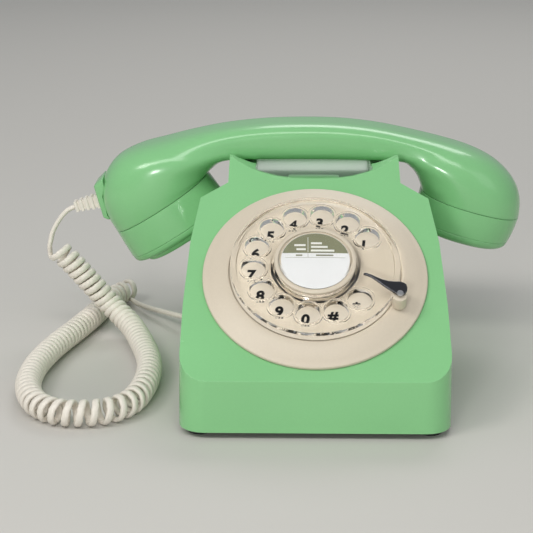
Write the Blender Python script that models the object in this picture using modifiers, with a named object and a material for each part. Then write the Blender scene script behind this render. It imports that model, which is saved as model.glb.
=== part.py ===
"""Desk telephone with a rotary dial, modelled as its separate pieces.

The frame: origin on the table under the middle of the telephone, +X to the
right of someone facing the dial, -Y towards them, +Z up. Lengths are metres.
"""
import math

import bmesh
import bpy
from mathutils import Matrix, Vector

MM = 0.001
GAP = 0.3 * MM
# The cord boss makes the handset reach further left, so the case stands a little right of the origin
CASE_OFFSET = 2.4 * MM

# Case
CASE_WIDTH = 132.4 * MM
CASE_DEPTH = 205 * MM
CASE_CORNER = 13 * MM
CASE_FLOOR = 3.4 * MM
CASE_WALL = 2.6 * MM
FRONT_DRAFT = 0.01
REAR_DRAFT = 0.097
# How far each side wall has leaned in (mm) at a height (mm)
SIDE_LEAN = [(3.4, 0.0), (56.0, 0.9), (79.0, 3.0), (97.0, 7.4), (125.0, 15.0)]
SKIRT_TOP = 31.7 * MM
FACE_SLOPE = math.radians(35.3)
DECK_HEIGHT = 58 * MM
DECK_FALL = 0.09
HORN_TOP = 112 * MM
CRADLE_HALF = 45 * MM
CHANNEL_HALF = 31 * MM
SADDLE_HEIGHT = 103.9 * MM

# Dial
DIAL_BACK = 51 * MM
BEZEL_RADIUS = 56.2 * MM
BEZEL_OPENING = 43.0 * MM
DIAL_HOLE = 52.0 * MM
PLATE_LEVEL = 5.6 * MM
WHEEL_RADIUS = 42.1 * MM
WHEEL_LEVEL = 8.2 * MM
WHEEL_THICK = 3.2 * MM
FINGER_HOLES = 12
FINGER_HOLE_RADIUS = 6.0 * MM
FINGER_CIRCLE = 30.7 * MM
FIRST_HOLE = math.radians(31.9)
HOLE_STEP = math.radians(25.7)
HUB_RADIUS = 20.3 * MM
CARD_RADIUS = 17.0 * MM
STOP_ANGLE = math.radians(-27.5)
STOP_CIRCLE = 46.0 * MM

# Gears behind the dial
MAIN_GEAR_RADIUS = 17 * MM
MAIN_GEAR_TEETH = 34
GOVERNOR_TEETH = 8
CAM_TEETH = 17
GEAR_LEVEL = -15 * MM
GEAR_THICK = 2.4 * MM

# Handset, whose handle lies along X in the cradle
HANDSET_BACK = 48 * MM
HANDSET_SHIFT = 2.2 * MM
HANDSET_WALL = 2.4 * MM
SECTION_POINTS = 28

# Cord
CORD_RADIUS = 1.5 * MM
CURL_RADIUS = 6.8 * MM

# Colours: base colour, roughness, metallic
GREEN = ((0.32, 0.62, 0.33, 1.0), 0.28, 0.0)
CREAM = ((0.70, 0.62, 0.50, 1.0), 0.35, 0.0)
IVORY = ((0.78, 0.73, 0.63, 1.0), 0.42, 0.0)
CLEAR = ((0.93, 0.92, 0.88, 1.0), 0.08, 0.0)
WHITE = ((0.85, 0.86, 0.88, 1.0), 0.45, 0.0)
BLACK = ((0.02, 0.02, 0.02, 1.0), 0.60, 0.0)
STEEL = ((0.55, 0.56, 0.58, 1.0), 0.32, 1.0)
DARK_CHROME = ((0.22, 0.22, 0.23, 1.0), 0.14, 1.0)
BRASS = ((0.72, 0.53, 0.25, 1.0), 0.30, 1.0)
COPPER = ((0.62, 0.28, 0.14, 1.0), 0.38, 1.0)
BOARD = ((0.10, 0.24, 0.12, 1.0), 0.55, 0.0)
NYLON = ((0.80, 0.78, 0.72, 1.0), 0.50, 0.0)

UP = Vector((0, 0, 1))
FACE_NORMAL = Vector((0, -math.sin(FACE_SLOPE), math.cos(FACE_SLOPE)))
SKIRT_EDGE = Vector((0, -CASE_DEPTH / 2 + 3 * MM, SKIRT_TOP))


def face_height(y):
    """Height of the sloping face above the table at a given depth."""
    return SKIRT_EDGE.z + (y - SKIRT_EDGE.y) * math.tan(FACE_SLOPE)


def start_scene():
    """Empty the scene and make the collection for the telephone."""
    for old in list(bpy.data.objects):
        bpy.data.objects.remove(old)
    group = bpy.data.collections.new("rotary_telephone")
    bpy.context.scene.collection.children.link(group)
    return group


COLLECTION = start_scene()


def finish_material(name, look):
    """Principled material of one piece, from its colour, roughness and metallic."""
    colour, roughness, metallic = look
    made = bpy.data.materials.new(name)
    made.use_nodes = True
    shader = made.node_tree.nodes["Principled BSDF"]
    shader.inputs["Base Color"].default_value = colour
    shader.inputs["Roughness"].default_value = roughness
    shader.inputs["Metallic"].default_value = metallic
    return made


def add_piece(name, data, look, parent=None, place=None):
    """Put one named piece in the collection, with its own material."""
    piece = bpy.data.objects.new(name, data)
    COLLECTION.objects.link(piece)
    data.materials.clear()
    data.materials.append(finish_material(name + "_finish", look))
    if parent is not None:
        piece.parent = parent
    if place is not None:
        piece.matrix_basis = place
    return piece


def add_axis(name, location, rotation=(0, 0, 0), parent=None):
    """An empty that stands on a joint's axis."""
    axis = bpy.data.objects.new(name, None)
    axis.empty_display_size = 0.01
    COLLECTION.objects.link(axis)
    axis.location = location
    axis.rotation_euler = rotation
    axis.parent = parent
    bpy.context.view_layer.update()
    return axis


def mesh_from(bm, smooth_angle=35):
    """Turn a bmesh into a mesh shaded smooth up to an angle."""
    bmesh.ops.recalc_face_normals(bm, faces=bm.faces)
    mesh = bpy.data.meshes.new("shape")
    bm.to_mesh(mesh)
    bm.free()
    mesh.shade_smooth()
    mesh.set_sharp_from_angle(angle=math.radians(smooth_angle))
    return mesh


def box_shape(size, centre=(0, 0, 0)):
    """A box of a given size."""
    bm = bmesh.new()
    place = Matrix.Translation(centre) @ Matrix.Diagonal((*size, 1.0))
    bmesh.ops.create_cube(bm, size=1.0, matrix=place)
    return bm


def rod_shape(radius, low, high, segments=24, centre=(0, 0), top_radius=None):
    """A round rod along Z between two heights, or a cone with a top radius."""
    bm = bmesh.new()
    middle = Matrix.Translation((centre[0], centre[1], (low + high) / 2))
    bmesh.ops.create_cone(bm, cap_ends=True, segments=segments, radius1=radius,
                          radius2=radius if top_radius is None else top_radius,
                          depth=high - low, matrix=middle)
    return bm


def outline_shape(points, low, high):
    """A flat outline in XY carried up from one height to another."""
    bm = bmesh.new()
    ring = [bm.verts.new((x, y, low)) for x, y in points]
    face = bm.faces.new(ring)
    raised = bmesh.ops.extrude_face_region(bm, geom=[face])
    moved = [v for v in raised["geom"] if isinstance(v, bmesh.types.BMVert)]
    bmesh.ops.translate(bm, verts=moved, vec=(0, 0, high - low))
    bmesh.ops.recalc_face_normals(bm, faces=bm.faces)
    return bm


def evaluated(piece):
    """The mesh of a piece with its modifiers applied."""
    bpy.context.view_layer.update()
    graph = bpy.context.evaluated_depsgraph_get()
    return bpy.data.meshes.new_from_object(piece.evaluated_get(graph))


def combined(first, second, operation):
    """Boolean of two bmeshes: the second is used up, and the first is returned new."""
    holders = []
    for shape in (first, second):
        bmesh.ops.recalc_face_normals(shape, faces=shape.faces)
        mesh = bpy.data.meshes.new("operand")
        shape.to_mesh(mesh)
        shape.free()
        holder = bpy.data.objects.new("operand", mesh)
        bpy.context.scene.collection.objects.link(holder)
        holders.append(holder)
    body, tool = holders
    step = body.modifiers.new("cut", "BOOLEAN")
    step.operation = operation
    step.solver = "EXACT"
    step.object = tool
    result = bmesh.new()
    result.from_mesh(evaluated(body))
    for holder in holders:
        bpy.data.objects.remove(holder)
    bmesh.ops.remove_doubles(result, verts=result.verts, dist=0.00001)
    bmesh.ops.dissolve_limit(result, angle_limit=math.radians(0.4),
                             verts=result.verts, edges=result.edges)
    return result


def moved(bm, matrix):
    """The same shape after a transform."""
    bmesh.ops.transform(bm, matrix=matrix, verts=bm.verts)
    return bm


def turned_piece(name, profile, look, parent=None, place=None, steps=32):
    """A round piece: a profile at +X that runs down its outer side, turned about Z."""
    mesh = bpy.data.meshes.new(name)
    closed = min(r for r, _ in profile) > 0.0001
    links = [(i, i + 1) for i in range(len(profile) - 1)]
    if closed:
        links.append((len(profile) - 1, 0))
    mesh.from_pydata([(r, 0, h) for r, h in profile], links, [])
    piece = add_piece(name, mesh, look, parent, place)
    screw = piece.modifiers.new("turn", "SCREW")
    screw.steps = steps
    screw.render_steps = steps
    screw.use_merge_vertices = True
    screw.merge_threshold = 0.00001
    screw.use_smooth_shade = True
    return piece


def ring_piece(name, inner, outer, low, high, look, parent=None, place=None, steps=32):
    """A plain washer or sleeve."""
    profile = [(outer, high), (outer, low), (inner, low), (inner, high)]
    return turned_piece(name, profile, look, parent, place, steps)


def smooth_path(knots, spacing):
    """Points at even spacing on a smooth curve through hand-chosen knots."""
    knots = [Vector(k) for k in knots]
    ends = [knots[0] * 2 - knots[1], *knots, knots[-1] * 2 - knots[-2]]
    fine = []
    for before, start, end, after in zip(ends, ends[1:], ends[2:], ends[3:]):
        for step in range(24):
            t = step / 24
            point = (start * 2 + (end - before) * t
                     + (before * 2 - start * 5 + end * 4 - after) * t ** 2
                     + (start * 3 - before - end * 3 + after) * t ** 3) / 2
            fine.append(point)
    fine.append(knots[-1])
    lengths = [0.0]
    for a, b in zip(fine, fine[1:]):
        lengths.append(lengths[-1] + (b - a).length)
    count = max(2, round(lengths[-1] / spacing))
    path = []
    index = 0
    for step in range(count + 1):
        target = lengths[-1] * step / count
        while index < len(fine) - 2 and lengths[index + 1] < target:
            index += 1
        span = max(lengths[index + 1] - lengths[index], 1e-9)
        path.append(fine[index].lerp(fine[index + 1], (target - lengths[index]) / span))
    return path


def tube_piece(name, points, radius, look, parent=None, sides=2):
    """A cord, wire or spring as a curve with a round bevel and filled caps."""
    curve = bpy.data.curves.new(name, "CURVE")
    curve.dimensions = "3D"
    curve.bevel_depth = radius
    curve.bevel_resolution = sides
    curve.use_fill_caps = True
    line = curve.splines.new("POLY")
    line.points.add(len(points) - 1)
    for knot, point in zip(line.points, points):
        knot.co = (*point, 1.0)
    return add_piece(name, curve, look, parent)


# ---------------------------------------------------------------- case

def rounded_rectangle(half_x, half_y, radius, arc_steps=6):
    """Corner arcs of a rectangle, anticlockwise."""
    points = []
    for quarter in range(4):
        turn = quarter * math.pi / 2
        sign_x = 1 if quarter in (0, 3) else -1
        sign_y = 1 if quarter in (0, 1) else -1
        for step in range(arc_steps + 1):
            angle = turn + step / arc_steps * math.pi / 2
            points.append((sign_x * (half_x - radius) + radius * math.cos(angle),
                           sign_y * (half_y - radius) + radius * math.sin(angle)))
    return points


def loft(rings, close_ends):
    """Skin a row of rings into one surface."""
    bm = bmesh.new()
    rows = [[bm.verts.new(point) for point in ring] for ring in rings]
    for low, high in zip(rows, rows[1:]):
        count = len(low)
        for i in range(count):
            j = (i + 1) % count
            bm.faces.new((low[i], low[j], high[j], high[i]))
    if close_ends:
        bm.faces.new(rows[0])
        bm.faces.new(rows[-1])
    bmesh.ops.recalc_face_normals(bm, faces=bm.faces)
    return bm


def drafted_block(inset, low):
    """The case's plan outline, carried up with its walls leaning in."""
    rings = []
    for height, lean in [(low / MM, 0.0), *SIDE_LEAN[1:]]:
        rise = height * MM - CASE_FLOOR
        half_x = CASE_WIDTH / 2 - lean * MM - inset
        front = -CASE_DEPTH / 2 + FRONT_DRAFT * rise + inset
        rear = CASE_DEPTH / 2 - REAR_DRAFT * rise - inset
        outline = rounded_rectangle(half_x, (rear - front) / 2, CASE_CORNER - inset)
        rings.append([Vector((x, y + (front + rear) / 2, height * MM)) for x, y in outline])
    return loft(rings, close_ends=True)


def keep_below(bm, point, normal):
    """Slice a convex shape with a plane, and close the cut."""
    cut = bmesh.ops.bisect_plane(bm, geom=bm.verts[:] + bm.edges[:] + bm.faces[:],
                                 plane_co=point, plane_no=normal, clear_outer=True)
    rim = [e for e in cut["geom_cut"] if isinstance(e, bmesh.types.BMEdge)]
    if rim:
        bmesh.ops.contextual_create(bm, geom=rim)
    bmesh.ops.recalc_face_normals(bm, faces=bm.faces)
    return bm


def sloped_block(inset, low, top):
    """The block under the sloping face, up to a height, with its steep rear."""
    block = drafted_block(inset, low)
    keep_below(block, SKIRT_EDGE - FACE_NORMAL * inset, FACE_NORMAL)
    keep_below(block, Vector((0, 0, top)), UP)
    rear = Vector((0, 1, 0.27)).normalized()
    return keep_below(block, Vector((0, 81.5 * MM, 108 * MM)) - rear * inset, rear)


def deck_cutter(side, wall):
    """Clears one side of the tower down to the low deck, behind the face's shoulder."""
    cutter = box_shape((60 * MM, 150 * MM, 100 * MM), (side * 70 * MM, 55 * MM, 90 * MM))
    shoulder = Vector((side * 58 * MM, -8.5 * MM, 96.2 * MM))
    waist = Vector((side * 44 * MM, 0.1 * MM, 102.3 * MM))
    foot = Vector((side * 56 * MM, 12 * MM, DECK_HEIGHT))
    rearward = (waist - shoulder).cross(foot - shoulder).normalized()
    if rearward.y < 0:
        rearward.negate()
    keep_below(cutter, shoulder - rearward * wall, -rearward)
    outward = Vector((side, 0, 0.03)).normalized()
    keep_below(cutter, Vector((side * CRADLE_HALF, 0, SADDLE_HEIGHT)) - outward * wall, -outward)
    upward = Vector((0, DECK_FALL, 1)).normalized()
    return keep_below(cutter, Vector((0, 15 * MM, DECK_HEIGHT)) - upward * wall, -upward)


def profile_along_x(points, half):
    """A YZ outline carried along X."""
    shape = outline_shape([(y, z) for y, z in points], -half, half)
    return moved(shape, Matrix(((0, 0, 1, 0), (1, 0, 0, 0), (0, 1, 0, 0), (0, 0, 0, 1))))


def saddle_cutter():
    """The U across the horns that the handle lies in."""
    rim = HORN_TOP - 1.5 * MM
    points = [(19.5 * MM, 130 * MM), (19.5 * MM, rim), (21 * MM, 107.4 * MM), (23.5 * MM, 105.4 * MM),
              (28 * MM, SADDLE_HEIGHT), (68 * MM, SADDLE_HEIGHT), (72.5 * MM, 105.4 * MM),
              (75 * MM, 107.4 * MM), (77 * MM, rim), (77 * MM, 130 * MM)]
    return profile_along_x(points[::-1], 60 * MM)


def channel_cutter(wall):
    """The valley between the horns, lower than the saddle and open upwards."""
    lip = 4.0 * MM - wall
    points = [(lip + 26.8 * MM / math.tan(FACE_SLOPE), 130 * MM), (lip, 103.2 * MM - wall),
              (6 * MM - wall, 99 * MM - wall), (12 * MM - wall, 96 * MM - wall), (22 * MM, 94 * MM - wall),
              (36 * MM, 93.4 * MM - wall), (48 * MM, 94 * MM - wall),
              (60 * MM + wall, 96 * MM - wall), (66 * MM + wall, 98.5 * MM - wall),
              (92 * MM + wall, 95.0 * MM - wall), (92 * MM + wall, 130 * MM)]
    return profile_along_x(points[::-1], CHANNEL_HALF + wall)


def lip_cutter():
    """The smooth dip of the case's top edge from one horn's tip to the other's."""
    half = [(12, 103.4), (20, 104.2), (28, 105.8), (34, 107.7), (40, 110.3), (43.5, 112.2), (60, 125)]
    points = [(x * MM, z * MM) for x, z in [(-x, z) for x, z in half[::-1]] + [(0, 103.2)] + half]
    shape = outline_shape(points, -100 * MM, 30 * MM)
    return moved(shape, Matrix.Rotation(math.radians(90), 4, "X"))


def case_body(inset, low, top):
    """Front, decks and tower of the case as one block, up to a given height."""
    body = sloped_block(inset, low, top)
    for side in (-1, 1):
        body = combined(body, deck_cutter(side, inset), "DIFFERENCE")
    return combined(body, channel_cutter(inset), "DIFFERENCE")


def dial_place():
    """The dial's frame: its Z is the dial's axis and its Y runs up the face."""
    centre = Vector((0, -DIAL_BACK, face_height(-DIAL_BACK)))
    return Matrix.LocRotScale(centre, Matrix.Rotation(FACE_SLOPE, 3, "X"), None)


TAB_WIDTH = 28 * MM
TAB_FRONT = 8.5 * MM
TAB_BACK = 24 * MM
TAB_TOP = 100.4 * MM
CORD_ENTRY = Vector((-66 * MM, 47 * MM, 9.5 * MM))
LINE_SOCKET_X = 24 * MM
RINGER_KNOB_X = -26 * MM


def build_case():
    """The outer case: one shell, open below, with its openings cut."""
    shell = combined(case_body(0, CASE_FLOOR, HORN_TOP), saddle_cutter(), "DIFFERENCE")
    shell = combined(shell, lip_cutter(), "DIFFERENCE")
    hollow = case_body(CASE_WALL, CASE_FLOOR - 10 * MM, SADDLE_HEIGHT - CASE_WALL)
    shell = combined(shell, hollow, "DIFFERENCE")
    hole = moved(rod_shape(DIAL_HOLE, -12 * MM, 12 * MM, 64), dial_place())
    shell = combined(shell, hole, "DIFFERENCE")
    slot = box_shape((TAB_WIDTH + 0.8 * MM, TAB_BACK - TAB_FRONT + 0.8 * MM, 20 * MM),
                     (0, (TAB_FRONT + TAB_BACK) / 2, 92 * MM))
    shell = combined(shell, slot, "DIFFERENCE")
    entry = moved(rod_shape(4.4 * MM, -8 * MM, 8 * MM, 16), Matrix.Translation(CORD_ENTRY)
                  @ Matrix.Rotation(math.pi / 2, 4, "Y"))
    shell = combined(shell, entry, "DIFFERENCE")
    socket = box_shape((15.2 * MM, 20 * MM, 13.2 * MM), (LINE_SOCKET_X, 101 * MM, 14 * MM))
    shell = combined(shell, socket, "DIFFERENCE")
    knob = box_shape((16 * MM, 20 * MM, 3.4 * MM), (RINGER_KNOB_X, 101 * MM, 14 * MM))
    shell = combined(shell, knob, "DIFFERENCE")
    return add_piece("case_shell", mesh_from(shell, 30), GREEN)


FOOT_SPOTS = {
    "foot_front_left": (-56 * MM, -91 * MM),
    "foot_front_right": (56 * MM, -91 * MM),
    "foot_rear_left": (-54 * MM, 88 * MM),
    "foot_rear_right": (54 * MM, 88 * MM),
}
SCREW_SPOTS = {"case_screw_left": (-52 * MM, 20 * MM), "case_screw_right": (52 * MM, 20 * MM)}
BASE_LOW = 4.0 * MM
BASE_THICK = 1.2 * MM
BASE_HIGH = BASE_LOW + BASE_THICK


def build_base():
    """The steel base plate with its rubber feet and the screws that hold the case."""
    inset = CASE_WALL + 0.6 * MM
    outline = rounded_rectangle(CASE_WIDTH / 2 - inset, CASE_DEPTH / 2 - inset, CASE_CORNER - inset)
    plate = outline_shape(outline, BASE_LOW, BASE_HIGH)
    add_piece("base_plate", mesh_from(plate), BLACK)
    for name, (x, y) in FOOT_SPOTS.items():
        profile = [(0, BASE_LOW - GAP), (6.5 * MM, BASE_LOW - GAP), (6.5 * MM, 1.0 * MM),
                   (5.6 * MM, 0), (0, 0)]
        turned_piece(name, profile, BLACK, place=Matrix.Translation((x, y, 0)), steps=20)
    for name, (x, y) in SCREW_SPOTS.items():
        profile = [(0, BASE_LOW - GAP), (3.2 * MM, BASE_LOW - GAP), (2.6 * MM, 2.2 * MM), (0, 2.2 * MM)]
        turned_piece(name, profile, STEEL, place=Matrix.Translation((x, y, 0)), steps=12)


# ---------------------------------------------------------------- dial

def build_dial_surround(frame):
    """The fixed cream parts that the finger wheel turns in front of."""
    low = 0.3 * MM
    profile = [(BEZEL_RADIUS - 1.2 * MM, 1.7 * MM), (BEZEL_RADIUS, 1.0 * MM), (BEZEL_RADIUS, low),
               (DIAL_HOLE - 0.6 * MM, low), (DIAL_HOLE - 0.6 * MM, -4 * MM),
               (DIAL_HOLE - 2.6 * MM, -4 * MM), (BEZEL_OPENING - 1 * MM, 2.0 * MM),
               (20 * MM, 2.0 * MM), (20 * MM, 4.4 * MM), (BEZEL_OPENING, 4.4 * MM),
               (BEZEL_OPENING, 5.4 * MM), (BEZEL_OPENING + 1 * MM, 5.8 * MM),
               (50 * MM, 4.2 * MM)]
    turned_piece("dial_bezel", profile, CREAM, frame, steps=64)
    ring_piece("number_plate", 21 * MM, 42.4 * MM, 4.7 * MM, PLATE_LEVEL, IVORY, frame, steps=48)


def build_finger_stop(frame):
    """The bright blade over the wheel, and the cream post that it is screwed to."""
    cx = STOP_CIRCLE * math.cos(STOP_ANGLE)
    cy = STOP_CIRCLE * math.sin(STOP_ANGLE)
    post = rod_shape(3.5 * MM, 6.2 * MM, 13.4 * MM, 20)
    place = Matrix.Translation((cx, cy, 0))
    add_piece("stop_post", mesh_from(post), CREAM, frame, place)
    low = 13.7 * MM
    high = 14.9 * MM
    outline = [(23.5, -8.9), (27.5, -11.9), (32.2, -16.0), (36.0, -19.2), (38.8, -21.6),
               (41.0, -22.6), (43.4, -21.6), (44.6, -18.8), (43.8, -16.0), (41.4, -14.6),
               (37.0, -14.4), (32.4, -13.2), (28.0, -10.6), (24.2, -8.2)]
    blade = outline_shape([(x * MM, y * MM) for x, y in outline], low, high)
    add_piece("finger_stop", mesh_from(blade), DARK_CHROME, frame)
    screw = rod_shape(1.8 * MM, high + GAP, high + 0.9 * MM, 16, top_radius=1.4 * MM)
    add_piece("stop_screw", mesh_from(screw), STEEL, frame, place)


def build_finger_wheel(axis):
    """The clear wheel with twelve finger holes, its hub, label and cover."""
    high = WHEEL_LEVEL + WHEEL_THICK
    wheel = rod_shape(WHEEL_RADIUS, WHEEL_LEVEL, high, 64)
    for number in range(FINGER_HOLES):
        angle = FIRST_HOLE + number * HOLE_STEP
        spot = (FINGER_CIRCLE * math.cos(angle), FINGER_CIRCLE * math.sin(angle))
        hole = rod_shape(FINGER_HOLE_RADIUS, 0, 30 * MM, 20, spot)
        wheel = combined(wheel, hole, "DIFFERENCE")
    bore = rod_shape(7 * MM, 0, 30 * MM, 24)
    add_piece("finger_wheel", mesh_from(combined(wheel, bore, "DIFFERENCE")), CLEAR, axis)
    rise = high + GAP
    hub = [(HUB_RADIUS - 1.5 * MM, rise + 2.0 * MM), (HUB_RADIUS, rise + 0.8 * MM), (HUB_RADIUS, rise),
           (3.4 * MM, rise), (3.4 * MM, rise + 0.8 * MM), (18.2 * MM, rise + 0.8 * MM),
           (18.2 * MM, rise + 2.0 * MM)]
    turned_piece("wheel_hub", hub, CREAM, axis, steps=48)
    card = rise + 0.8 * MM + GAP
    ring_piece("label_card", 3.4 * MM, CARD_RADIUS, card, card + 0.4 * MM, WHITE, axis, steps=40)
    cover = card + 0.4 * MM + GAP
    dome = [(0, cover + 1.5 * MM), (9 * MM, cover + 1.3 * MM), (16.0 * MM, cover + 0.9 * MM),
            (17.9 * MM, cover + 0.2 * MM), (17.9 * MM, cover), (0, cover)]
    turned_piece("label_cover", dome, CLEAR, axis, steps=40)


def gear_shape(radius, teeth, depth, bore):
    """A flat gear: a toothed outline with a bore."""
    points = []
    for tooth in range(teeth):
        for part, reach in ((0.0, -depth), (0.22, 0.0), (0.5, 0.0), (0.72, -depth)):
            angle = (tooth + part) / teeth * 2 * math.pi
            points.append(((radius + reach) * math.cos(angle), (radius + reach) * math.sin(angle)))
    gear = outline_shape(points, 0, GEAR_THICK)
    return combined(gear, rod_shape(bore, -0.01, 0.01, 16), "DIFFERENCE")


def build_dial_works(frame, axis):
    """The spindle, gears, governor, spring and pulse springs behind the face."""
    spindle = rod_shape(3.0 * MM, -20 * MM, WHEEL_LEVEL + WHEEL_THICK + 0.4 * MM, 20)
    add_piece("dial_spindle", mesh_from(spindle), STEEL, axis)
    main = gear_shape(MAIN_GEAR_RADIUS, MAIN_GEAR_TEETH, 0.9 * MM, 3.3 * MM)
    add_piece("main_gear", mesh_from(main), BRASS, axis, Matrix.Translation((0, 0, GEAR_LEVEL)))
    # The frame plate carries the works, and its three pillars stand against the surround
    plate = rod_shape(38 * MM, -7.5 * MM, -6.0 * MM, 40)
    plate = combined(plate, rod_shape(3.4 * MM, -0.02, 0.02, 20), "DIFFERENCE")
    for number in range(3):
        angle = math.radians(90 + 120 * number)
        spot = (34 * MM * math.cos(angle), 34 * MM * math.sin(angle))
        plate = combined(plate, rod_shape(2.0 * MM, -7.0 * MM, 1.7 * MM, 12, spot), "UNION")
    add_piece("dial_frame", mesh_from(plate), STEEL, frame)
    spring = [(12 * MM, -8.0 * MM), (12 * MM, -12.0 * MM), (5 * MM, -12.0 * MM), (5 * MM, -8.0 * MM)]
    turned_piece("return_spring", spring, STEEL, frame, steps=32)


def build_coupled_wheel(frame, name, angle, teeth, flywheel):
    """A small shaft driven by the main gear: the governor or the pulse cam."""
    radius = MAIN_GEAR_RADIUS * teeth / MAIN_GEAR_TEETH
    reach = MAIN_GEAR_RADIUS + radius + 0.6 * MM
    spot = Vector((reach * math.cos(angle), reach * math.sin(angle), 0))
    axis = add_axis(name + "_axis", spot, parent=frame)
    shaft = rod_shape(1.2 * MM, -24 * MM, -8.0 * MM, 12)
    add_piece(name + "_shaft", mesh_from(shaft), STEEL, axis)
    pinion = gear_shape(radius, teeth, 0.7 * MM, 1.5 * MM)
    add_piece(name + "_pinion", mesh_from(pinion), BRASS, axis, Matrix.Translation((0, 0, GEAR_LEVEL)))
    ring_piece(name + "_" + flywheel[0], 1.5 * MM, flywheel[1], -22 * MM, -18.5 * MM, flywheel[2], axis,
               steps=20)
    return axis


# ---------------------------------------------------------------- hook switch and ringer

def build_hook_switch():
    """The tab that rises when the handset is lifted, its spring and its switch."""
    middle = (TAB_FRONT + TAB_BACK) / 2
    axis = add_axis("hook_axis", (0, middle, TAB_TOP))
    tab = box_shape((TAB_WIDTH, TAB_BACK - TAB_FRONT, 9 * MM), (0, 0, -4.5 * MM))
    rounded = [e for e in tab.edges if all(v.co.z > -0.001 for v in e.verts)]
    bmesh.ops.bevel(tab, geom=rounded, offset=1.2 * MM, segments=3, profile=0.5, affect="EDGES", material=-1)
    add_piece("hook_tab", mesh_from(tab), GREEN, axis)
    stem = rod_shape(2.0 * MM, -44 * MM, -9 * MM - GAP, 16)
    add_piece("hook_stem", mesh_from(stem), NYLON, axis)
    low = TAB_TOP - 43 * MM
    turns = 6
    coil = []
    for step in range(turns * 12 + 1):
        angle = step / 12 * 2 * math.pi
        height = low + 2 * MM + step / (turns * 12) * 14 * MM
        coil.append((3.6 * MM * math.cos(angle), middle + 3.6 * MM * math.sin(angle), height))
    tube_piece("hook_spring", coil, 0.35 * MM, STEEL)
    block = box_shape((20 * MM, 14 * MM, 10 * MM), (0, middle, low - 11 * MM))
    add_piece("hook_switch", mesh_from(block), BLACK)
    bracket = box_shape((24 * MM, 10 * MM, low - 17 * MM - BASE_HIGH),
                        (0, middle, (BASE_HIGH + GAP + low - 17 * MM) / 2))
    inner = box_shape((18 * MM, 30 * MM, low - 22 * MM - BASE_HIGH),
                      (0, middle, (BASE_HIGH + low - 22 * MM) / 2 - 1 * MM))
    add_piece("switch_bracket", mesh_from(combined(bracket, inner, "DIFFERENCE")), STEEL)


GONG_RADIUS = 24 * MM
GONG_SPOT = Vector((30 * MM, 62 * MM, 0))
CLAPPER_PIVOT = Vector((0, 40 * MM, 0))


def build_ringer():
    """Two gongs on posts, the coil on its frame, and the swinging clapper."""
    for name, side in (("left", -1), ("right", 1)):
        spot = Matrix.Translation((side * GONG_SPOT.x, GONG_SPOT.y, 0))
        post = [(0, 42 * MM), (4.5 * MM, 41.5 * MM), (4.5 * MM, 38.5 * MM), (2.5 * MM, 38.3 * MM),
                (2.5 * MM, 36.2 * MM), (4.0 * MM, 36.2 * MM), (4.0 * MM, BASE_HIGH + GAP),
                (0, BASE_HIGH + GAP)]
        turned_piece("gong_post_" + name, post, STEEL, place=spot, steps=16)
        gong = [(3 * MM, 38 * MM), (12 * MM, 37.5 * MM), (20 * MM, 34.5 * MM), (GONG_RADIUS, 28 * MM),
                (GONG_RADIUS, 25 * MM), (GONG_RADIUS - 1.4 * MM, 25 * MM),
                (GONG_RADIUS - 1.4 * MM, 27.6 * MM), (19 * MM, 33.2 * MM), (11.6 * MM, 36.1 * MM),
                (3 * MM, 36.5 * MM)]
        turned_piece("gong_" + name, gong, BRASS, place=spot, steps=32)
    frame = box_shape((46 * MM, 20 * MM, 1.6 * MM), (0, 33 * MM, BASE_HIGH + GAP + 0.8 * MM))
    add_piece("ringer_frame", mesh_from(frame), STEEL)
    core = moved(rod_shape(7 * MM, -16 * MM, 16 * MM, 28), Matrix.Rotation(math.pi / 2, 4, "Y"))
    add_piece("ringer_coil", mesh_from(core), COPPER,
              place=Matrix.Translation((0, 31 * MM, 14.5 * MM)))
    axis = add_axis("clapper_axis", CLAPPER_PIVOT)
    arm = box_shape((2.0 * MM, 20 * MM, 1.6 * MM), (0, 11 * MM, 27.5 * MM))
    bore = rod_shape(1.5 * MM, 0, 0.05, 12)
    collar = rod_shape(3.0 * MM, 26.0 * MM, 29.0 * MM, 16)
    arm = combined(combined(arm, collar, "UNION"), bore, "DIFFERENCE")
    add_piece("clapper_arm", mesh_from(arm), STEEL, axis)
    ball = bmesh.new()
    bmesh.ops.create_uvsphere(ball, u_segments=12, v_segments=8, radius=3.0 * MM)
    add_piece("clapper_ball", mesh_from(ball, 80), BRASS, axis,
              Matrix.Translation((0, 24.4 * MM, 27.5 * MM)))
    pin = rod_shape(1.2 * MM, BASE_HIGH + 2.2 * MM, 31 * MM, 12)
    add_piece("clapper_pin", mesh_from(pin), STEEL, place=Matrix.Translation(CLAPPER_PIVOT))
    slide = add_axis("ringer_knob_axis", (RINGER_KNOB_X, 98 * MM, 14 * MM))
    knob = box_shape((5 * MM, 9 * MM, 2.6 * MM), (0, 0.7 * MM, 0))
    add_piece("ringer_knob", mesh_from(knob), BLACK, slide)


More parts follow.
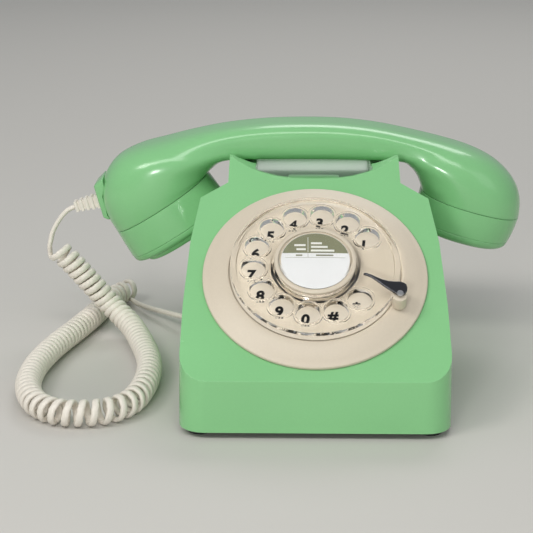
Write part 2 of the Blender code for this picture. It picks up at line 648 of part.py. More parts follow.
def build_electrics():
    """The board, its parts and the socket for the line."""
    board = box_shape((92 * MM, 62 * MM, 1.6 * MM), (0, -55 * MM, 9.5 * MM))
    add_piece("circuit_board", mesh_from(board), BOARD)
    top = 10.3 * MM + GAP
    parts = {
        "line_transformer": ((18 * MM, 16 * MM, 7 * MM), (-30 * MM, -66 * MM), COPPER),
        "terminal_block": ((30 * MM, 9 * MM, 8 * MM), (20 * MM, -32 * MM), NYLON),
    }
    for name, (size, (x, y), look) in parts.items():
        add_piece(name, mesh_from(box_shape(size, (x, y, top + size[2] / 2))), look)
    can = rod_shape(4.5 * MM, top, top + 8 * MM, 20, (28 * MM, -70 * MM))
    add_piece("capacitor", mesh_from(can), BLACK)
    jack = box_shape((14.4 * MM, 15 * MM, 12.4 * MM), (LINE_SOCKET_X, 93.4 * MM, 14 * MM))
    mouth = box_shape((10.5 * MM, 12 * MM, 7.6 * MM), (LINE_SOCKET_X, 96.5 * MM, 14 * MM))
    add_piece("line_socket", mesh_from(combined(jack, mouth, "DIFFERENCE")), BLACK)


# ---------------------------------------------------------------- handset

def handset_point(x, z):
    """A point of the handset's side outline, given in millimetres from the case's middle."""
    return Vector((x * MM + HANDSET_SHIFT, z * MM))


# Each station: outer point, inner point, half depth (mm), squareness of the section
HANDSET_STATIONS = [
    ((-109.4, 58.9), (-59.3, 92.0), 26.0, 2.3),
    ((-111.8, 63.0), (-61.0, 96.0), 26.3, 2.3),
    ((-117.0, 72.5), (-59.6, 97.2), 27.0, 2.3),
    ((-119.4, 83.0), (-58.6, 98.2), 27.2, 2.3),
    ((-117.4, 94.8), (-57.4, 99.2), 27.0, 2.3),
    ((-110.8, 104.2), (-56.0, 100.5), 26.4, 2.35),
    ((-99.2, 110.4), (-54.2, 102.0), 25.0, 2.4),
    ((-84.8, 114.4), (-51.8, 103.4), 22.6, 2.6),
    ((-69.0, 118.4), (-48.0, 104.4), 20.2, 3.0),
    ((-51.0, 122.0), (-40.0, 104.9), 18.6, 3.5),
    ((-31.0, 124.3), (-27.0, 105.0), 18.0, 3.8),
    ((-10.0, 125.2), (-9.5, 105.1), 18.0, 3.8),
    ((12.0, 124.8), (10.5, 105.0), 18.0, 3.8),
    ((33.0, 122.5), (27.0, 104.8), 18.0, 3.7),
    ((52.5, 118.6), (39.0, 104.6), 18.6, 3.3),
    ((70.5, 114.3), (46.6, 103.4), 20.4, 2.8),
    ((86.2, 109.4), (50.4, 100.8), 23.4, 2.5),
    ((99.2, 102.6), (53.0, 98.0), 25.6, 2.35),
    ((108.4, 93.2), (55.0, 95.0), 26.8, 2.3),
    ((112.4, 83.0), (56.6, 91.4), 27.2, 2.3),
    ((112.3, 72.3), (57.8, 87.2), 27.0, 2.3),
    ((111.4, 67.7), (56.7, 82.8), 27.0, 2.3),
]
MOUTH_SEAM = ((-111.8, 63.0), (-61.0, 96.0))
EAR_SEAM = ((112.3, 72.3), (57.8, 87.2))
MOUTH_DEPTH = 26.3 * MM
EAR_DEPTH = 27.0 * MM


def section_ring(outer, inner, half_depth, squareness):
    """Points of one rounded section between an outer and an inner point."""
    centre = (outer + inner) / 2
    reach = (outer - inner) / 2
    ring = []
    for step in range(SECTION_POINTS):
        angle = step / SECTION_POINTS * 2 * math.pi
        along = math.copysign(abs(math.cos(angle)) ** (2 / squareness), math.cos(angle))
        across = math.copysign(abs(math.sin(angle)) ** (2 / squareness), math.sin(angle))
        spot = centre + reach * along
        ring.append(Vector((spot.x, HANDSET_BACK + half_depth * across, spot.y)))
    return ring


def handset_rings():
    """Sections along the handset, one at each station."""
    return [section_ring(handset_point(*outer), handset_point(*inner), depth * MM, square)
            for outer, inner, depth, square in HANDSET_STATIONS]


def cap_frame(outer, inner, facing):
    """Frame of a cap: Z points out of the handset, X runs towards the grip."""
    a = handset_point(*outer)
    b = handset_point(*inner)
    centre = (a + b) / 2
    along = (b - a).normalized()
    out = Vector((along.y, -along.x)) * facing
    x_axis = Vector((along.x, 0, along.y))
    z_axis = Vector((out.x, 0, out.y))
    y_axis = z_axis.cross(x_axis)
    spin = Matrix((x_axis, y_axis, z_axis)).transposed()
    centre = Vector((centre.x, HANDSET_BACK, centre.y))
    return Matrix.LocRotScale(centre, spin, None), (b - a).length / 2


def build_handset_shell(axis, seams):
    """The hollow handle and the two bowls, cut open at the seams of the caps."""
    skin = bpy.data.meshes.new("skin")
    shape = loft(handset_rings(), close_ends=False)
    shape.to_mesh(skin)
    shape.free()
    holder = bpy.data.objects.new("skin", skin)
    bpy.context.scene.collection.objects.link(holder)
    wall = holder.modifiers.new("wall", "SOLIDIFY")
    wall.thickness = HANDSET_WALL
    wall.offset = -1.0
    shell = bmesh.new()
    shell.from_mesh(evaluated(holder))
    bpy.data.objects.remove(holder)
    for seam in seams:
        beyond = box_shape((100 * MM, 80 * MM, 30 * MM), (0, 0, 15 * MM))
        shell = combined(shell, moved(beyond, seam), "DIFFERENCE")
    moved(shell, Matrix.Translation(-axis.location))
    add_piece("handset_shell", mesh_from(shell, 50), GREEN, axis)


def cap_rings(steps, squareness=2.3):
    """Rings of a cap from (height, half length, half depth) steps in its frame."""
    rings = []
    for height, half_x, half_y in steps:
        ring = []
        for step in range(SECTION_POINTS):
            angle = step / SECTION_POINTS * 2 * math.pi
            along = math.copysign(abs(math.cos(angle)) ** (2 / squareness), math.cos(angle))
            across = math.copysign(abs(math.sin(angle)) ** (2 / squareness), math.sin(angle))
            ring.append(Vector((half_x * along, half_y * across, height)))
        rings.append(ring)
    return rings


def sound_holes(count, circle, radius, low, high):
    """Cutter for a ring of small holes with one in the middle."""
    cutter = rod_shape(radius, low, high, 10)
    for number in range(count):
        angle = number / count * 2 * math.pi
        spot = Matrix.Translation((circle * math.cos(angle), circle * math.sin(angle), (low + high) / 2))
        bmesh.ops.create_cone(cutter, cap_ends=True, segments=10, radius1=radius, radius2=radius,
                              depth=high - low, matrix=spot)
    return cutter


def build_cap(name, axis, frame, outside, inside, holes):
    """A cup-shaped cap with sound holes in its face."""
    cup = combined(loft(cap_rings(outside), True), loft(cap_rings(inside), True), "DIFFERENCE")
    cup = combined(cup, holes, "DIFFERENCE")
    place = Matrix.Translation(-axis.location) @ frame
    return add_piece(name, mesh_from(cup, 40), GREEN, axis, place)


def build_handset(axis):
    """The handset's shell, caps, capsules and weight."""
    mouth_frame, mouth_half = cap_frame(*MOUTH_SEAM, 1)
    ear_frame, ear_half = cap_frame(*EAR_SEAM, -1)
    build_handset_shell(axis, (mouth_frame, ear_frame))
    depth = MOUTH_DEPTH
    outside = [(GAP, mouth_half, depth), (17 * MM, mouth_half + 0.8 * MM, depth + 0.6 * MM),
               (19.6 * MM, mouth_half, depth), (21 * MM, mouth_half - 2.4 * MM, depth - 2.2 * MM),
               (21.2 * MM, 24.5 * MM, 21.5 * MM), (23.2 * MM, 23.8 * MM, 21.0 * MM),
               (24.4 * MM, 21 * MM, 18.5 * MM)]
    inside = [(-0.002, mouth_half - 2.4 * MM, depth - 2.4 * MM),
              (18 * MM, mouth_half - 2.4 * MM, depth - 2.4 * MM),
              (18.4 * MM, 20 * MM, 18 * MM), (21.6 * MM, 19 * MM, 17 * MM)]
    holes = sound_holes(6, 8 * MM, 1.3 * MM, 20 * MM, 28 * MM)
    build_cap("mouthpiece_cap", axis, mouth_frame, outside, inside, holes)
    depth = EAR_DEPTH
    outside = [(GAP, ear_half, depth), (12 * MM, ear_half - 0.8 * MM, depth - 0.6 * MM),
               (16.8 * MM, ear_half - 2.4 * MM, depth - 2.2 * MM),
               (19.4 * MM, ear_half - 5.6 * MM, depth - 5.2 * MM),
               (20.5 * MM, ear_half - 9.5 * MM, depth - 9 * MM)]
    inside = [(-0.002, ear_half - 2.8 * MM, depth - 2.8 * MM),
              (12.5 * MM, ear_half - 3.6 * MM, depth - 3.4 * MM),
              (17.4 * MM, ear_half - 8.8 * MM, depth - 8.4 * MM)]
    holes = sound_holes(6, 7 * MM, 1.3 * MM, 15 * MM, 24 * MM)
    build_cap("earpiece_cap", axis, ear_frame, outside, inside, holes)
    lift = Matrix.Translation(-axis.location)
    for name, frame, radius, low, high in (("transmitter_capsule", mouth_frame, 20 * MM, 5 * MM, 17 * MM),
                                           ("receiver_capsule", ear_frame, 20 * MM, 4 * MM, 12 * MM)):
        profile = [(0, high), (radius - 4 * MM, high), (radius, high - 3 * MM), (radius, low),
                   (radius - 2 * MM, low), (radius - 3 * MM, low - 2 * MM), (0, low - 2 * MM)]
        turned_piece(name, profile, STEEL, axis, lift @ frame, steps=28)
    weight = box_shape((60 * MM, 20 * MM, 8 * MM), (-4 * MM, HANDSET_BACK, 115.2 * MM))
    bmesh.ops.translate(weight, verts=weight.verts, vec=-axis.location)
    add_piece("handset_weight", mesh_from(weight), STEEL, axis)


BOSS_OUT = Vector((-0.965, 0, -0.262))
BOSS_UP = Vector((-0.262, 0, 0.965))
BOSS_FACE = Vector((-121.2 * MM + HANDSET_SHIFT, HANDSET_BACK, 79.4 * MM))


def boss_frame():
    """Frame of the cord boss: Z points out along the cord."""
    side = BOSS_OUT.cross(BOSS_UP)
    return Matrix.LocRotScale(BOSS_FACE, Matrix((BOSS_UP, side, BOSS_OUT)).transposed(), None)


def build_cord_boss(axis):
    """The raised block where the cord leaves, and the ribbed relief that sits in it."""
    lift = Matrix.Translation(-axis.location)
    boss = box_shape((19 * MM, 16 * MM, 6.4 * MM), (0.5 * MM, 0, -3.4 * MM))
    for corner in boss.verts:
        if corner.co.z < -5 * MM:
            corner.co.x += math.copysign(3.4 * MM, corner.co.x)
            corner.co.y += math.copysign(3.0 * MM, corner.co.y)
    bmesh.ops.transform(boss, matrix=boss_frame(), verts=boss.verts)
    body = loft(handset_rings(), close_ends=True)
    grown = Vector((-GAP, 0, 0))
    bmesh.ops.translate(body, verts=body.verts, vec=grown)
    boss = combined(boss, body, "DIFFERENCE")
    bmesh.ops.translate(boss, verts=boss.verts, vec=-axis.location)
    add_piece("cord_boss", mesh_from(boss), GREEN, axis)
    rings = []
    steps = 9
    for step in range(steps):
        half = (3.9 - 0.11 * step) * MM
        groove = 0.7 * MM if step % 2 else 0.0
        low = (0.3 + step * 1.55) * MM
        for height in (low, low + 1.5 * MM):
            rings.append([Vector((x * (half - groove), y * (half - groove), height))
                          for x, y in ((1, 1), (-1, 1), (-1, -1), (1, -1))])
    add_piece("strain_relief", mesh_from(loft(rings, True)), IVORY, axis, lift @ boss_frame())


# ---------------------------------------------------------------- cord

# The route's own points, in millimetres: the lead from the handset, the curl, the lead to the case
LEAD_OUT = [(-133.4, 48, 75.2), (-137.6, 48, 73.0), (-142.0, 48, 67.6), (-145.2, 48, 60.0),
            (-146.2, 48, 53.0)]
CURL = [(-144.0, 48, 50.0), (-136.0, 48, 42.5), (-124.0, 47, 29.0), (-112.0, 45, 16.0),
        (-101.0, 33, 9.2), (-91.5, 4, 7.0), (-86.6, -22, 7.0), (-86.6, -48, 7.0), (-91.0, -71, 7.0),
        (-100.0, -83, 7.0), (-113.0, -87.5, 7.0), (-127.0, -85.5, 7.0), (-139.0, -74, 7.0),
        (-146.0, -53, 7.0), (-147.0, -28, 7.0), (-144.0, -6, 7.0), (-139.5, 13, 7.0),
        (-133.5, 33, 7.0), (-127.5, 55, 7.0), (-122.0, 78, 7.0), (-117.0, 97, 7.0),
        (-110.0, 109, 7.0)]
LEAD_IN = [(-106.0, 99.0, 3.0), (-103.2, 91.6, 3.2), (-98.0, 84.0, 4.0), (-90.5, 74.4, 5.3),
           (-82.5, 64.2, 6.9), (-75.0, 54.6, 8.4), (-69.0, 47.6, 9.4)]


def in_metres(points):
    """The same points in metres."""
    return [tuple(value * MM for value in point) for point in points]


def build_cord(handset_axis):
    """The handset cord: two plain leads and the curl between them, and its bush."""
    lead = tube_piece("cord_handset_lead", smooth_path(in_metres(LEAD_OUT), 4 * MM), CORD_RADIUS, IVORY,
                      handset_axis)
    lead.location = -handset_axis.location
    tube_piece("curly_cord", smooth_path(in_metres(CURL), 9 * MM), CURL_RADIUS, IVORY, sides=4)
    tube_piece("cord_base_lead", smooth_path(in_metres(LEAD_IN), 4 * MM), CORD_RADIUS, IVORY)
    place = Matrix.Translation(CORD_ENTRY) @ Matrix.Rotation(-math.pi / 2, 4, "Y")
    bush = [(4.0 * MM, 1.8 * MM), (4.0 * MM, -3.4 * MM), (1.9 * MM, -3.4 * MM), (1.9 * MM, 1.8 * MM)]
    turned_piece("cord_bush", bush, IVORY, place=place, steps=20)


def build_telephone():
    """Every piece of the telephone, each on the axis that it moves about."""
    build_case()
    build_base()
    place = dial_place()
    frame = add_axis("dial_place", place.to_translation(), place.to_euler())
    axis = add_axis("dial_axis", (0, 0, 0), parent=frame)
    build_dial_surround(frame)
    build_finger_stop(frame)
    build_finger_wheel(axis)
    build_dial_works(frame, axis)
    build_coupled_wheel(frame, "governor", math.radians(150), GOVERNOR_TEETH, ("weights", 6 * MM, BRASS))
    build_coupled_wheel(frame, "pulse", math.radians(20), CAM_TEETH, ("cam", 5 * MM, NYLON))
    build_hook_switch()
    build_ringer()
    build_electrics()
    handset_axis = add_axis("handset_axis", (0, HANDSET_BACK, SADDLE_HEIGHT))
    build_handset(handset_axis)
    build_cord_boss(handset_axis)
    build_cord(handset_axis)
    for piece in COLLECTION.objects:
        if piece.parent is None:
            piece.location.x += CASE_OFFSET


build_telephone()
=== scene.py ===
"""Looks of the desk telephone: its moulded shells, dial, handset and curled cord.

Lengths are metres in the telephone's own frame: +X to the right of someone
facing the dial, -Y towards them, +Z up, the origin under its middle.
"""
import math

import bmesh
import bpy
from mathutils import Matrix, Vector
from mathutils.bvhtree import BVHTree


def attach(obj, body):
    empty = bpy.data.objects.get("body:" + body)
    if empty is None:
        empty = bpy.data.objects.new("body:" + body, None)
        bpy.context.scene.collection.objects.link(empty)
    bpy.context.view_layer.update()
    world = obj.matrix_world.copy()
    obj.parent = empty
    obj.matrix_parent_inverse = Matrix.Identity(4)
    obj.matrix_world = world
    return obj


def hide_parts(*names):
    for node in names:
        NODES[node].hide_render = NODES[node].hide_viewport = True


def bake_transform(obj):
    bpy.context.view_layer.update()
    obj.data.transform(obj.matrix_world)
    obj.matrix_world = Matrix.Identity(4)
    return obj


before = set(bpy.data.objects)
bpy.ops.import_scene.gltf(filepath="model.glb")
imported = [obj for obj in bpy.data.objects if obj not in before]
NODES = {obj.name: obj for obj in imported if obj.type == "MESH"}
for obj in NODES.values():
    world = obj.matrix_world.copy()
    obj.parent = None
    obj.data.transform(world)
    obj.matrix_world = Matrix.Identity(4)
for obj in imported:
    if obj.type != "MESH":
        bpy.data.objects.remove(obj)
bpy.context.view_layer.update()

MM = 0.001
CASE_OFFSET = 2.4 * MM
FACE_SLOPE = math.radians(35.3)
FACE_NORMAL = Vector((0, -math.sin(FACE_SLOPE), math.cos(FACE_SLOPE)))
DIAL_CENTRE = Vector((CASE_OFFSET, -0.051, 0.06604))
DIAL = Matrix.LocRotScale(DIAL_CENTRE, Matrix.Rotation(FACE_SLOPE, 3, "X"), None)
FIRST_HOLE = math.radians(31.9)
HOLE_STEP = math.radians(25.7)
FINGER_CIRCLE = 30.7 * MM
HANDSET_BACK = 48 * MM
HANDSET_SHIFT = 2.2 * MM + CASE_OFFSET


# ---------------------------------------------------------------- camera

def place_camera():
    """The camera in front of the telephone, a little above and to its left."""
    data = bpy.data.cameras.new("camera")
    data.lens = 104.2
    data.sensor_width = 36
    camera = bpy.data.objects.new("camera", data)
    camera.location = (CASE_OFFSET - 0.0122, -0.7861, 0.2979)
    camera.rotation_euler = (math.radians(90 - 17.135), 0, math.radians(0.935))
    bpy.context.scene.collection.objects.link(camera)
    bpy.context.scene.camera = camera


place_camera()


# ---------------------------------------------------------------- finishes

def new_group(name, inputs, outputs):
    """A shader node group with named sockets, and its input and output nodes."""
    group = bpy.data.node_groups.new(name, "ShaderNodeTree")
    for label, kind, value in inputs:
        socket = group.interface.new_socket(name=label, in_out="INPUT", socket_type=kind)
        socket.default_value = value
    for label, kind in outputs:
        group.interface.new_socket(name=label, in_out="OUTPUT", socket_type=kind)
    return group, group.nodes.new("NodeGroupInput"), group.nodes.new("NodeGroupOutput")


def add_node(tree, kind, **values):
    """A node with its properties set."""
    node = tree.nodes.new(kind)
    for key, value in values.items():
        setattr(node, key, value)
    return node


def tone_group():
    """Slow cloudiness and fine speckle in a colour, as in a dyed plastic."""
    group, given, made = new_group(
        "plastic_tone",
        [("Colour", "NodeSocketColor", (0.5, 0.5, 0.5, 1)), ("Cloud", "NodeSocketFloat", 0.05),
         ("Speckle", "NodeSocketFloat", 0.03)],
        [("Colour", "NodeSocketColor"), ("Cloud", "NodeSocketFloat")])
    place = add_node(group, "ShaderNodeTexCoord")
    cloud = add_node(group, "ShaderNodeTexNoise")
    cloud.inputs["Scale"].default_value = 18
    cloud.inputs["Detail"].default_value = 3
    fine = add_node(group, "ShaderNodeTexNoise")
    fine.inputs["Scale"].default_value = 900
    fine.inputs["Detail"].default_value = 2
    cloud_size = add_node(group, "ShaderNodeMapRange")
    fine_size = add_node(group, "ShaderNodeMapRange")
    total = add_node(group, "ShaderNodeMath", operation="ADD")
    tint = add_node(group, "ShaderNodeHueSaturation")
    links = group.links
    for noise in (cloud, fine):
        links.new(place.outputs["Object"], noise.inputs["Vector"])
    for size, noise, label in ((cloud_size, cloud, "Cloud"), (fine_size, fine, "Speckle")):
        size.inputs["From Min"].default_value = 0.3
        size.inputs["From Max"].default_value = 0.7
        size.inputs["To Min"].default_value = 0.0
        links.new(noise.outputs["Fac"], size.inputs["Value"])
        links.new(given.outputs[label], size.inputs["To Max"])
        half = add_node(group, "ShaderNodeMath", operation="MULTIPLY_ADD")
        half.inputs[1].default_value = -0.5
        half.inputs[2].default_value = 0.5
        links.new(given.outputs[label], half.inputs[0])
        shifted = add_node(group, "ShaderNodeMath", operation="ADD")
        links.new(size.outputs["Result"], shifted.inputs[0])
        links.new(half.outputs["Value"], shifted.inputs[1])
        links.new(shifted.outputs["Value"], total.inputs[0 if label == "Cloud" else 1])
    links.new(total.outputs["Value"], tint.inputs["Value"])
    links.new(given.outputs["Colour"], tint.inputs["Color"])
    links.new(tint.outputs["Color"], made.inputs["Colour"])
    links.new(cloud.outputs["Fac"], made.inputs["Cloud"])
    return group


def rub_and_shade_group():
    """Mask of a piece's outer edges, broken up where hands and cloths rub it, and a painted shade mask that
    is strongest in its hollows.
    """
    group, given, made = new_group(
        "edge_rub_and_hollow_shade",
        [("Width", "NodeSocketFloat", 0.0008), ("Amount", "NodeSocketFloat", 0.5)],
        [("Edge", "NodeSocketFloat"), ("Hollow Shade", "NodeSocketFloat")])
    links = group.links
    rounded = add_node(group, "ShaderNodeBevel", samples=4)
    geometry = add_node(group, "ShaderNodeNewGeometry")
    dot = add_node(group, "ShaderNodeVectorMath", operation="DOT_PRODUCT")
    edge = add_node(group, "ShaderNodeMapRange")
    edge.inputs["From Min"].default_value = 0.995
    edge.inputs["From Max"].default_value = 0.90
    place = add_node(group, "ShaderNodeTexCoord")
    breakup = add_node(group, "ShaderNodeTexNoise")
    breakup.inputs["Scale"].default_value = 160
    breakup.inputs["Detail"].default_value = 4
    patch = add_node(group, "ShaderNodeMapRange")
    patch.inputs["From Min"].default_value = 0.40
    patch.inputs["From Max"].default_value = 0.62
    masked = add_node(group, "ShaderNodeMath", operation="MULTIPLY")
    scaled = add_node(group, "ShaderNodeMath", operation="MULTIPLY")
    # Painted shade: ambient occlusion within 6 mm gives a mask that is strongest in hollows and between
    # parts.
    hollow = add_node(group, "ShaderNodeAmbientOcclusion", samples=6)
    hollow.inputs["Distance"].default_value = 0.006
    painted_shade_level = add_node(group, "ShaderNodeMapRange")
    painted_shade_level.inputs["From Min"].default_value = 0.75
    painted_shade_level.inputs["From Max"].default_value = 0.25
    links.new(given.outputs["Width"], rounded.inputs["Radius"])
    links.new(rounded.outputs["Normal"], dot.inputs[0])
    links.new(geometry.outputs["Normal"], dot.inputs[1])
    links.new(dot.outputs["Value"], edge.inputs["Value"])
    links.new(place.outputs["Object"], breakup.inputs["Vector"])
    links.new(breakup.outputs["Fac"], patch.inputs["Value"])
    links.new(edge.outputs["Result"], masked.inputs[0])
    links.new(patch.outputs["Result"], masked.inputs[1])
    links.new(masked.outputs["Value"], scaled.inputs[0])
    links.new(given.outputs["Amount"], scaled.inputs[1])
    links.new(scaled.outputs["Value"], made.inputs["Edge"])
    links.new(hollow.outputs["AO"], painted_shade_level.inputs["Value"])
    links.new(painted_shade_level.outputs["Result"], made.inputs["Hollow Shade"])
    return group


def grain_group():
    """Height of a moulding's faint orange peel and of the dust and scuffs on it."""
    group, given, made = new_group(
        "mould_grain",
        [("Peel", "NodeSocketFloat", 0.5), ("Scuff", "NodeSocketFloat", 0.3),
         ("Peel Scale", "NodeSocketFloat", 420.0)],
        [("Height", "NodeSocketFloat"), ("Scuff", "NodeSocketFloat")])
    links = group.links
    place = add_node(group, "ShaderNodeTexCoord")
    peel = add_node(group, "ShaderNodeTexNoise")
    peel.inputs["Detail"].default_value = 2
    stretch = add_node(group, "ShaderNodeMapping")
    stretch.inputs["Scale"].default_value = (1.0, 0.35, 0.7)
    stretch.inputs["Rotation"].default_value = (0.3, 0.6, 0.4)
    scratch = add_node(group, "ShaderNodeTexNoise")
    scratch.inputs["Scale"].default_value = 260
    scratch.inputs["Detail"].default_value = 6
    scratch.inputs["Distortion"].default_value = 1.6
    thin = add_node(group, "ShaderNodeMapRange")
    thin.inputs["From Min"].default_value = 0.60
    thin.inputs["From Max"].default_value = 0.72
    peel_size = add_node(group, "ShaderNodeMath", operation="MULTIPLY")
    scuff_size = add_node(group, "ShaderNodeMath", operation="MULTIPLY")
    total = add_node(group, "ShaderNodeMath", operation="SUBTRACT")
    links.new(place.outputs["Object"], peel.inputs["Vector"])
    links.new(given.outputs["Peel Scale"], peel.inputs["Scale"])
    links.new(place.outputs["Object"], stretch.inputs["Vector"])
    links.new(stretch.outputs["Vector"], scratch.inputs["Vector"])
    links.new(scratch.outputs["Fac"], thin.inputs["Value"])
    links.new(peel.outputs["Fac"], peel_size.inputs[0])
    links.new(given.outputs["Peel"], peel_size.inputs[1])
    links.new(thin.outputs["Result"], scuff_size.inputs[0])
    links.new(given.outputs["Scuff"], scuff_size.inputs[1])
    links.new(peel_size.outputs["Value"], total.inputs[0])
    links.new(scuff_size.outputs["Value"], total.inputs[1])
    links.new(total.outputs["Value"], made.inputs["Height"])
    links.new(scuff_size.outputs["Value"], made.inputs["Scuff"])
    return group


TONE = tone_group()
RUB_AND_SHADE = rub_and_shade_group()
GRAIN = grain_group()


def place_group(tree, group, **values):
    """A node group in a material, with its own values."""
    node = tree.nodes.new("ShaderNodeGroup")
    node.node_tree = group
    for label, value in values.items():
        node.inputs[label.replace("_", " ")].default_value = value
    return node


def blend_colour(tree, factor, first, second, mode="MIX"):
    """Mix of two colours by a mask. Each may be a colour or a socket."""
    node = add_node(tree, "ShaderNodeMix", data_type="RGBA", blend_type=mode)
    for slot, value in ((0, factor), (6, first), (7, second)):
        if isinstance(value, bpy.types.NodeSocket):
            tree.links.new(value, node.inputs[slot])
        else:
            node.inputs[slot].default_value = value
    return node.outputs[2]


def plastic(name, colour, roughness, cloud=0.05, speckle=0.03, peel=0.5, scuff=0.3, edge=0.5,
            pale=0.25, bump=0.05, coat=0.0, peel_scale=420.0, metallic=0.0, sheen=0.5):
    """A moulded, painted or plated finish with cloudiness, rubbed edges, painted shade in its hollows and
    fine grain.
    """
    made = bpy.data.materials.new(name)
    made.use_nodes = True
    tree = made.node_tree
    shader = tree.nodes["Principled BSDF"]
    tone = place_group(tree, TONE, Colour=(*colour, 1), Cloud=cloud, Speckle=speckle)
    rub_and_shade = place_group(tree, RUB_AND_SHADE, Width=0.0007, Amount=edge)
    grain = place_group(tree, GRAIN, Peel=peel, Scuff=scuff, Peel_Scale=peel_scale)
    lighter = tuple(c + (1 - c) * pale for c in colour)
    shade_colour = tuple(c * 0.72 for c in colour)
    rubbed = blend_colour(tree, rub_and_shade.outputs["Edge"], tone.outputs["Colour"], (*lighter, 1))
    # Painted shade: where the hollow mask is strong, the colour goes up to 35% of the way to a darker copy
    # of itself.
    shade_amount = add_node(tree, "ShaderNodeMath", operation="MULTIPLY")
    shade_amount.inputs[1].default_value = 0.35
    tree.links.new(rub_and_shade.outputs["Hollow Shade"], shade_amount.inputs[0])
    shaded_colour = blend_colour(tree, shade_amount.outputs["Value"], rubbed, (*shade_colour, 1))
    tree.links.new(shaded_colour, shader.inputs["Base Color"])
    gloss = add_node(tree, "ShaderNodeMapRange")
    gloss.inputs["To Min"].default_value = roughness * 0.82
    gloss.inputs["To Max"].default_value = roughness * 1.22
    tree.links.new(tone.outputs["Cloud"], gloss.inputs["Value"])
    scuffed = add_node(tree, "ShaderNodeMath", operation="MULTIPLY_ADD")
    scuffed.inputs[1].default_value = 0.25
    tree.links.new(grain.outputs["Scuff"], scuffed.inputs[0])
    tree.links.new(gloss.outputs["Result"], scuffed.inputs[2])
    tree.links.new(scuffed.outputs["Value"], shader.inputs["Roughness"])
    raised = add_node(tree, "ShaderNodeBump")
    raised.inputs["Strength"].default_value = bump
    raised.inputs["Distance"].default_value = 0.0004
    tree.links.new(grain.outputs["Height"], raised.inputs["Height"])
    tree.links.new(raised.outputs["Normal"], shader.inputs["Normal"])
    shader.inputs["Metallic"].default_value = metallic
    shader.inputs["Coat Weight"].default_value = coat
    shader.inputs["Coat Roughness"].default_value = 0.09
    shader.inputs["Specular IOR Level"].default_value = sheen
    return made


def clear_plastic(name, colour, roughness):
    """Clear acrylic with faint scuffs, which lets the lamps' light through to what is under it."""
    made = bpy.data.materials.new(name)
    made.use_nodes = True
    tree = made.node_tree
    shader = tree.nodes["Principled BSDF"]
    shader.inputs["Base Color"].default_value = (*colour, 1)
    shader.inputs["Transmission Weight"].default_value = 1.0
    shader.inputs["IOR"].default_value = 1.3
    grain = place_group(tree, GRAIN, Peel=0.4, Scuff=0.5, Peel_Scale=240.0)
    gloss = add_node(tree, "ShaderNodeMath", operation="MULTIPLY_ADD")
    gloss.inputs[1].default_value = 0.22
    gloss.inputs[2].default_value = roughness
    tree.links.new(grain.outputs["Scuff"], gloss.inputs[0])
    tree.links.new(gloss.outputs["Value"], shader.inputs["Roughness"])
    raised = add_node(tree, "ShaderNodeBump")
    raised.inputs["Strength"].default_value = 0.03
    raised.inputs["Distance"].default_value = 0.0003
    tree.links.new(grain.outputs["Height"], raised.inputs["Height"])
    tree.links.new(raised.outputs["Normal"], shader.inputs["Normal"])
    lamps = add_node(tree, "ShaderNodeLightPath")
    passing = add_node(tree, "ShaderNodeBsdfTransparent")
    passing.inputs["Color"].default_value = (0.86, 0.85, 0.83, 1)
    chosen = add_node(tree, "ShaderNodeMixShader")
    tree.links.new(lamps.outputs["Is Shadow Ray"], chosen.inputs[0])
    tree.links.new(shader.outputs["BSDF"], chosen.inputs[1])
    tree.links.new(passing.outputs["BSDF"], chosen.inputs[2])
    tree.links.new(chosen.outputs["Shader"], tree.nodes["Material Output"].inputs["Surface"])
    return made


GREEN_COLOUR = (0.235, 0.560, 0.240)
CREAM_COLOUR = (0.640, 0.560, 0.440)
IVORY_COLOUR = (0.680, 0.605, 0.490)
FINISHES = {
    "green": plastic("green_moulding", GREEN_COLOUR, 0.24, cloud=0.04, speckle=0.02, scuff=0.06,
                     edge=0.25, coat=0.35, pale=0.2),
    "cream": plastic("cream_moulding", CREAM_COLOUR, 0.42, cloud=0.05, bump=0.06),
    "ivory": plastic("ivory_moulding", IVORY_COLOUR, 0.45, cloud=0.06, bump=0.06),
    "cord": plastic("ivory_cord", (0.800, 0.745, 0.655), 0.38, cloud=0.09, speckle=0.05, bump=0.10,
                    peel_scale=900.0, pale=0.15),
    "clear": clear_plastic("clear_acrylic", (0.985, 0.975, 0.955), 0.03),
    "steel": plastic("plated_steel", (0.56, 0.56, 0.57), 0.30, metallic=1.0, bump=0.10, scuff=0.6),
    "dark_chrome": plastic("dark_chrome", (0.10, 0.10, 0.11), 0.14, metallic=1.0, scuff=0.9, pale=0.5),
    "brass": plastic("lacquered_brass", (0.72, 0.52, 0.24), 0.28, metallic=1.0, bump=0.08, scuff=0.5),
    "copper": plastic("wound_copper", (0.62, 0.28, 0.14), 0.40, metallic=1.0, peel_scale=1500.0, bump=0.30),
    "rubber": plastic("black_rubber", (0.022, 0.022, 0.022), 0.72, cloud=0.3, speckle=0.3, bump=0.30),
    "black": plastic("black_moulding", (0.030, 0.030, 0.032), 0.38, bump=0.08),
    "painted": plastic("black_painted_steel", (0.040, 0.040, 0.042), 0.48, peel=1.0, bump=0.25, edge=0.9),
    "board": plastic("green_laminate", (0.055, 0.190, 0.080), 0.45, peel_scale=1400.0, bump=0.18),
    "nylon": plastic("natural_nylon", (0.760, 0.740, 0.680), 0.50, bump=0.05),
    "card": plastic("pale_card", (0.780, 0.805, 0.840), 0.62, cloud=0.03, bump=0.04, peel_scale=1800.0),
    "olive": plastic("olive_print", (0.200, 0.210, 0.125), 0.60, cloud=0.05, bump=0.02),
    "ink": plastic("black_ink", (0.008, 0.008, 0.009), 0.6, cloud=0.1, bump=0.02, sheen=0.1),
    "chalk": plastic("white_print", (0.80, 0.82, 0.80), 0.55, cloud=0.03, bump=0.02),
}

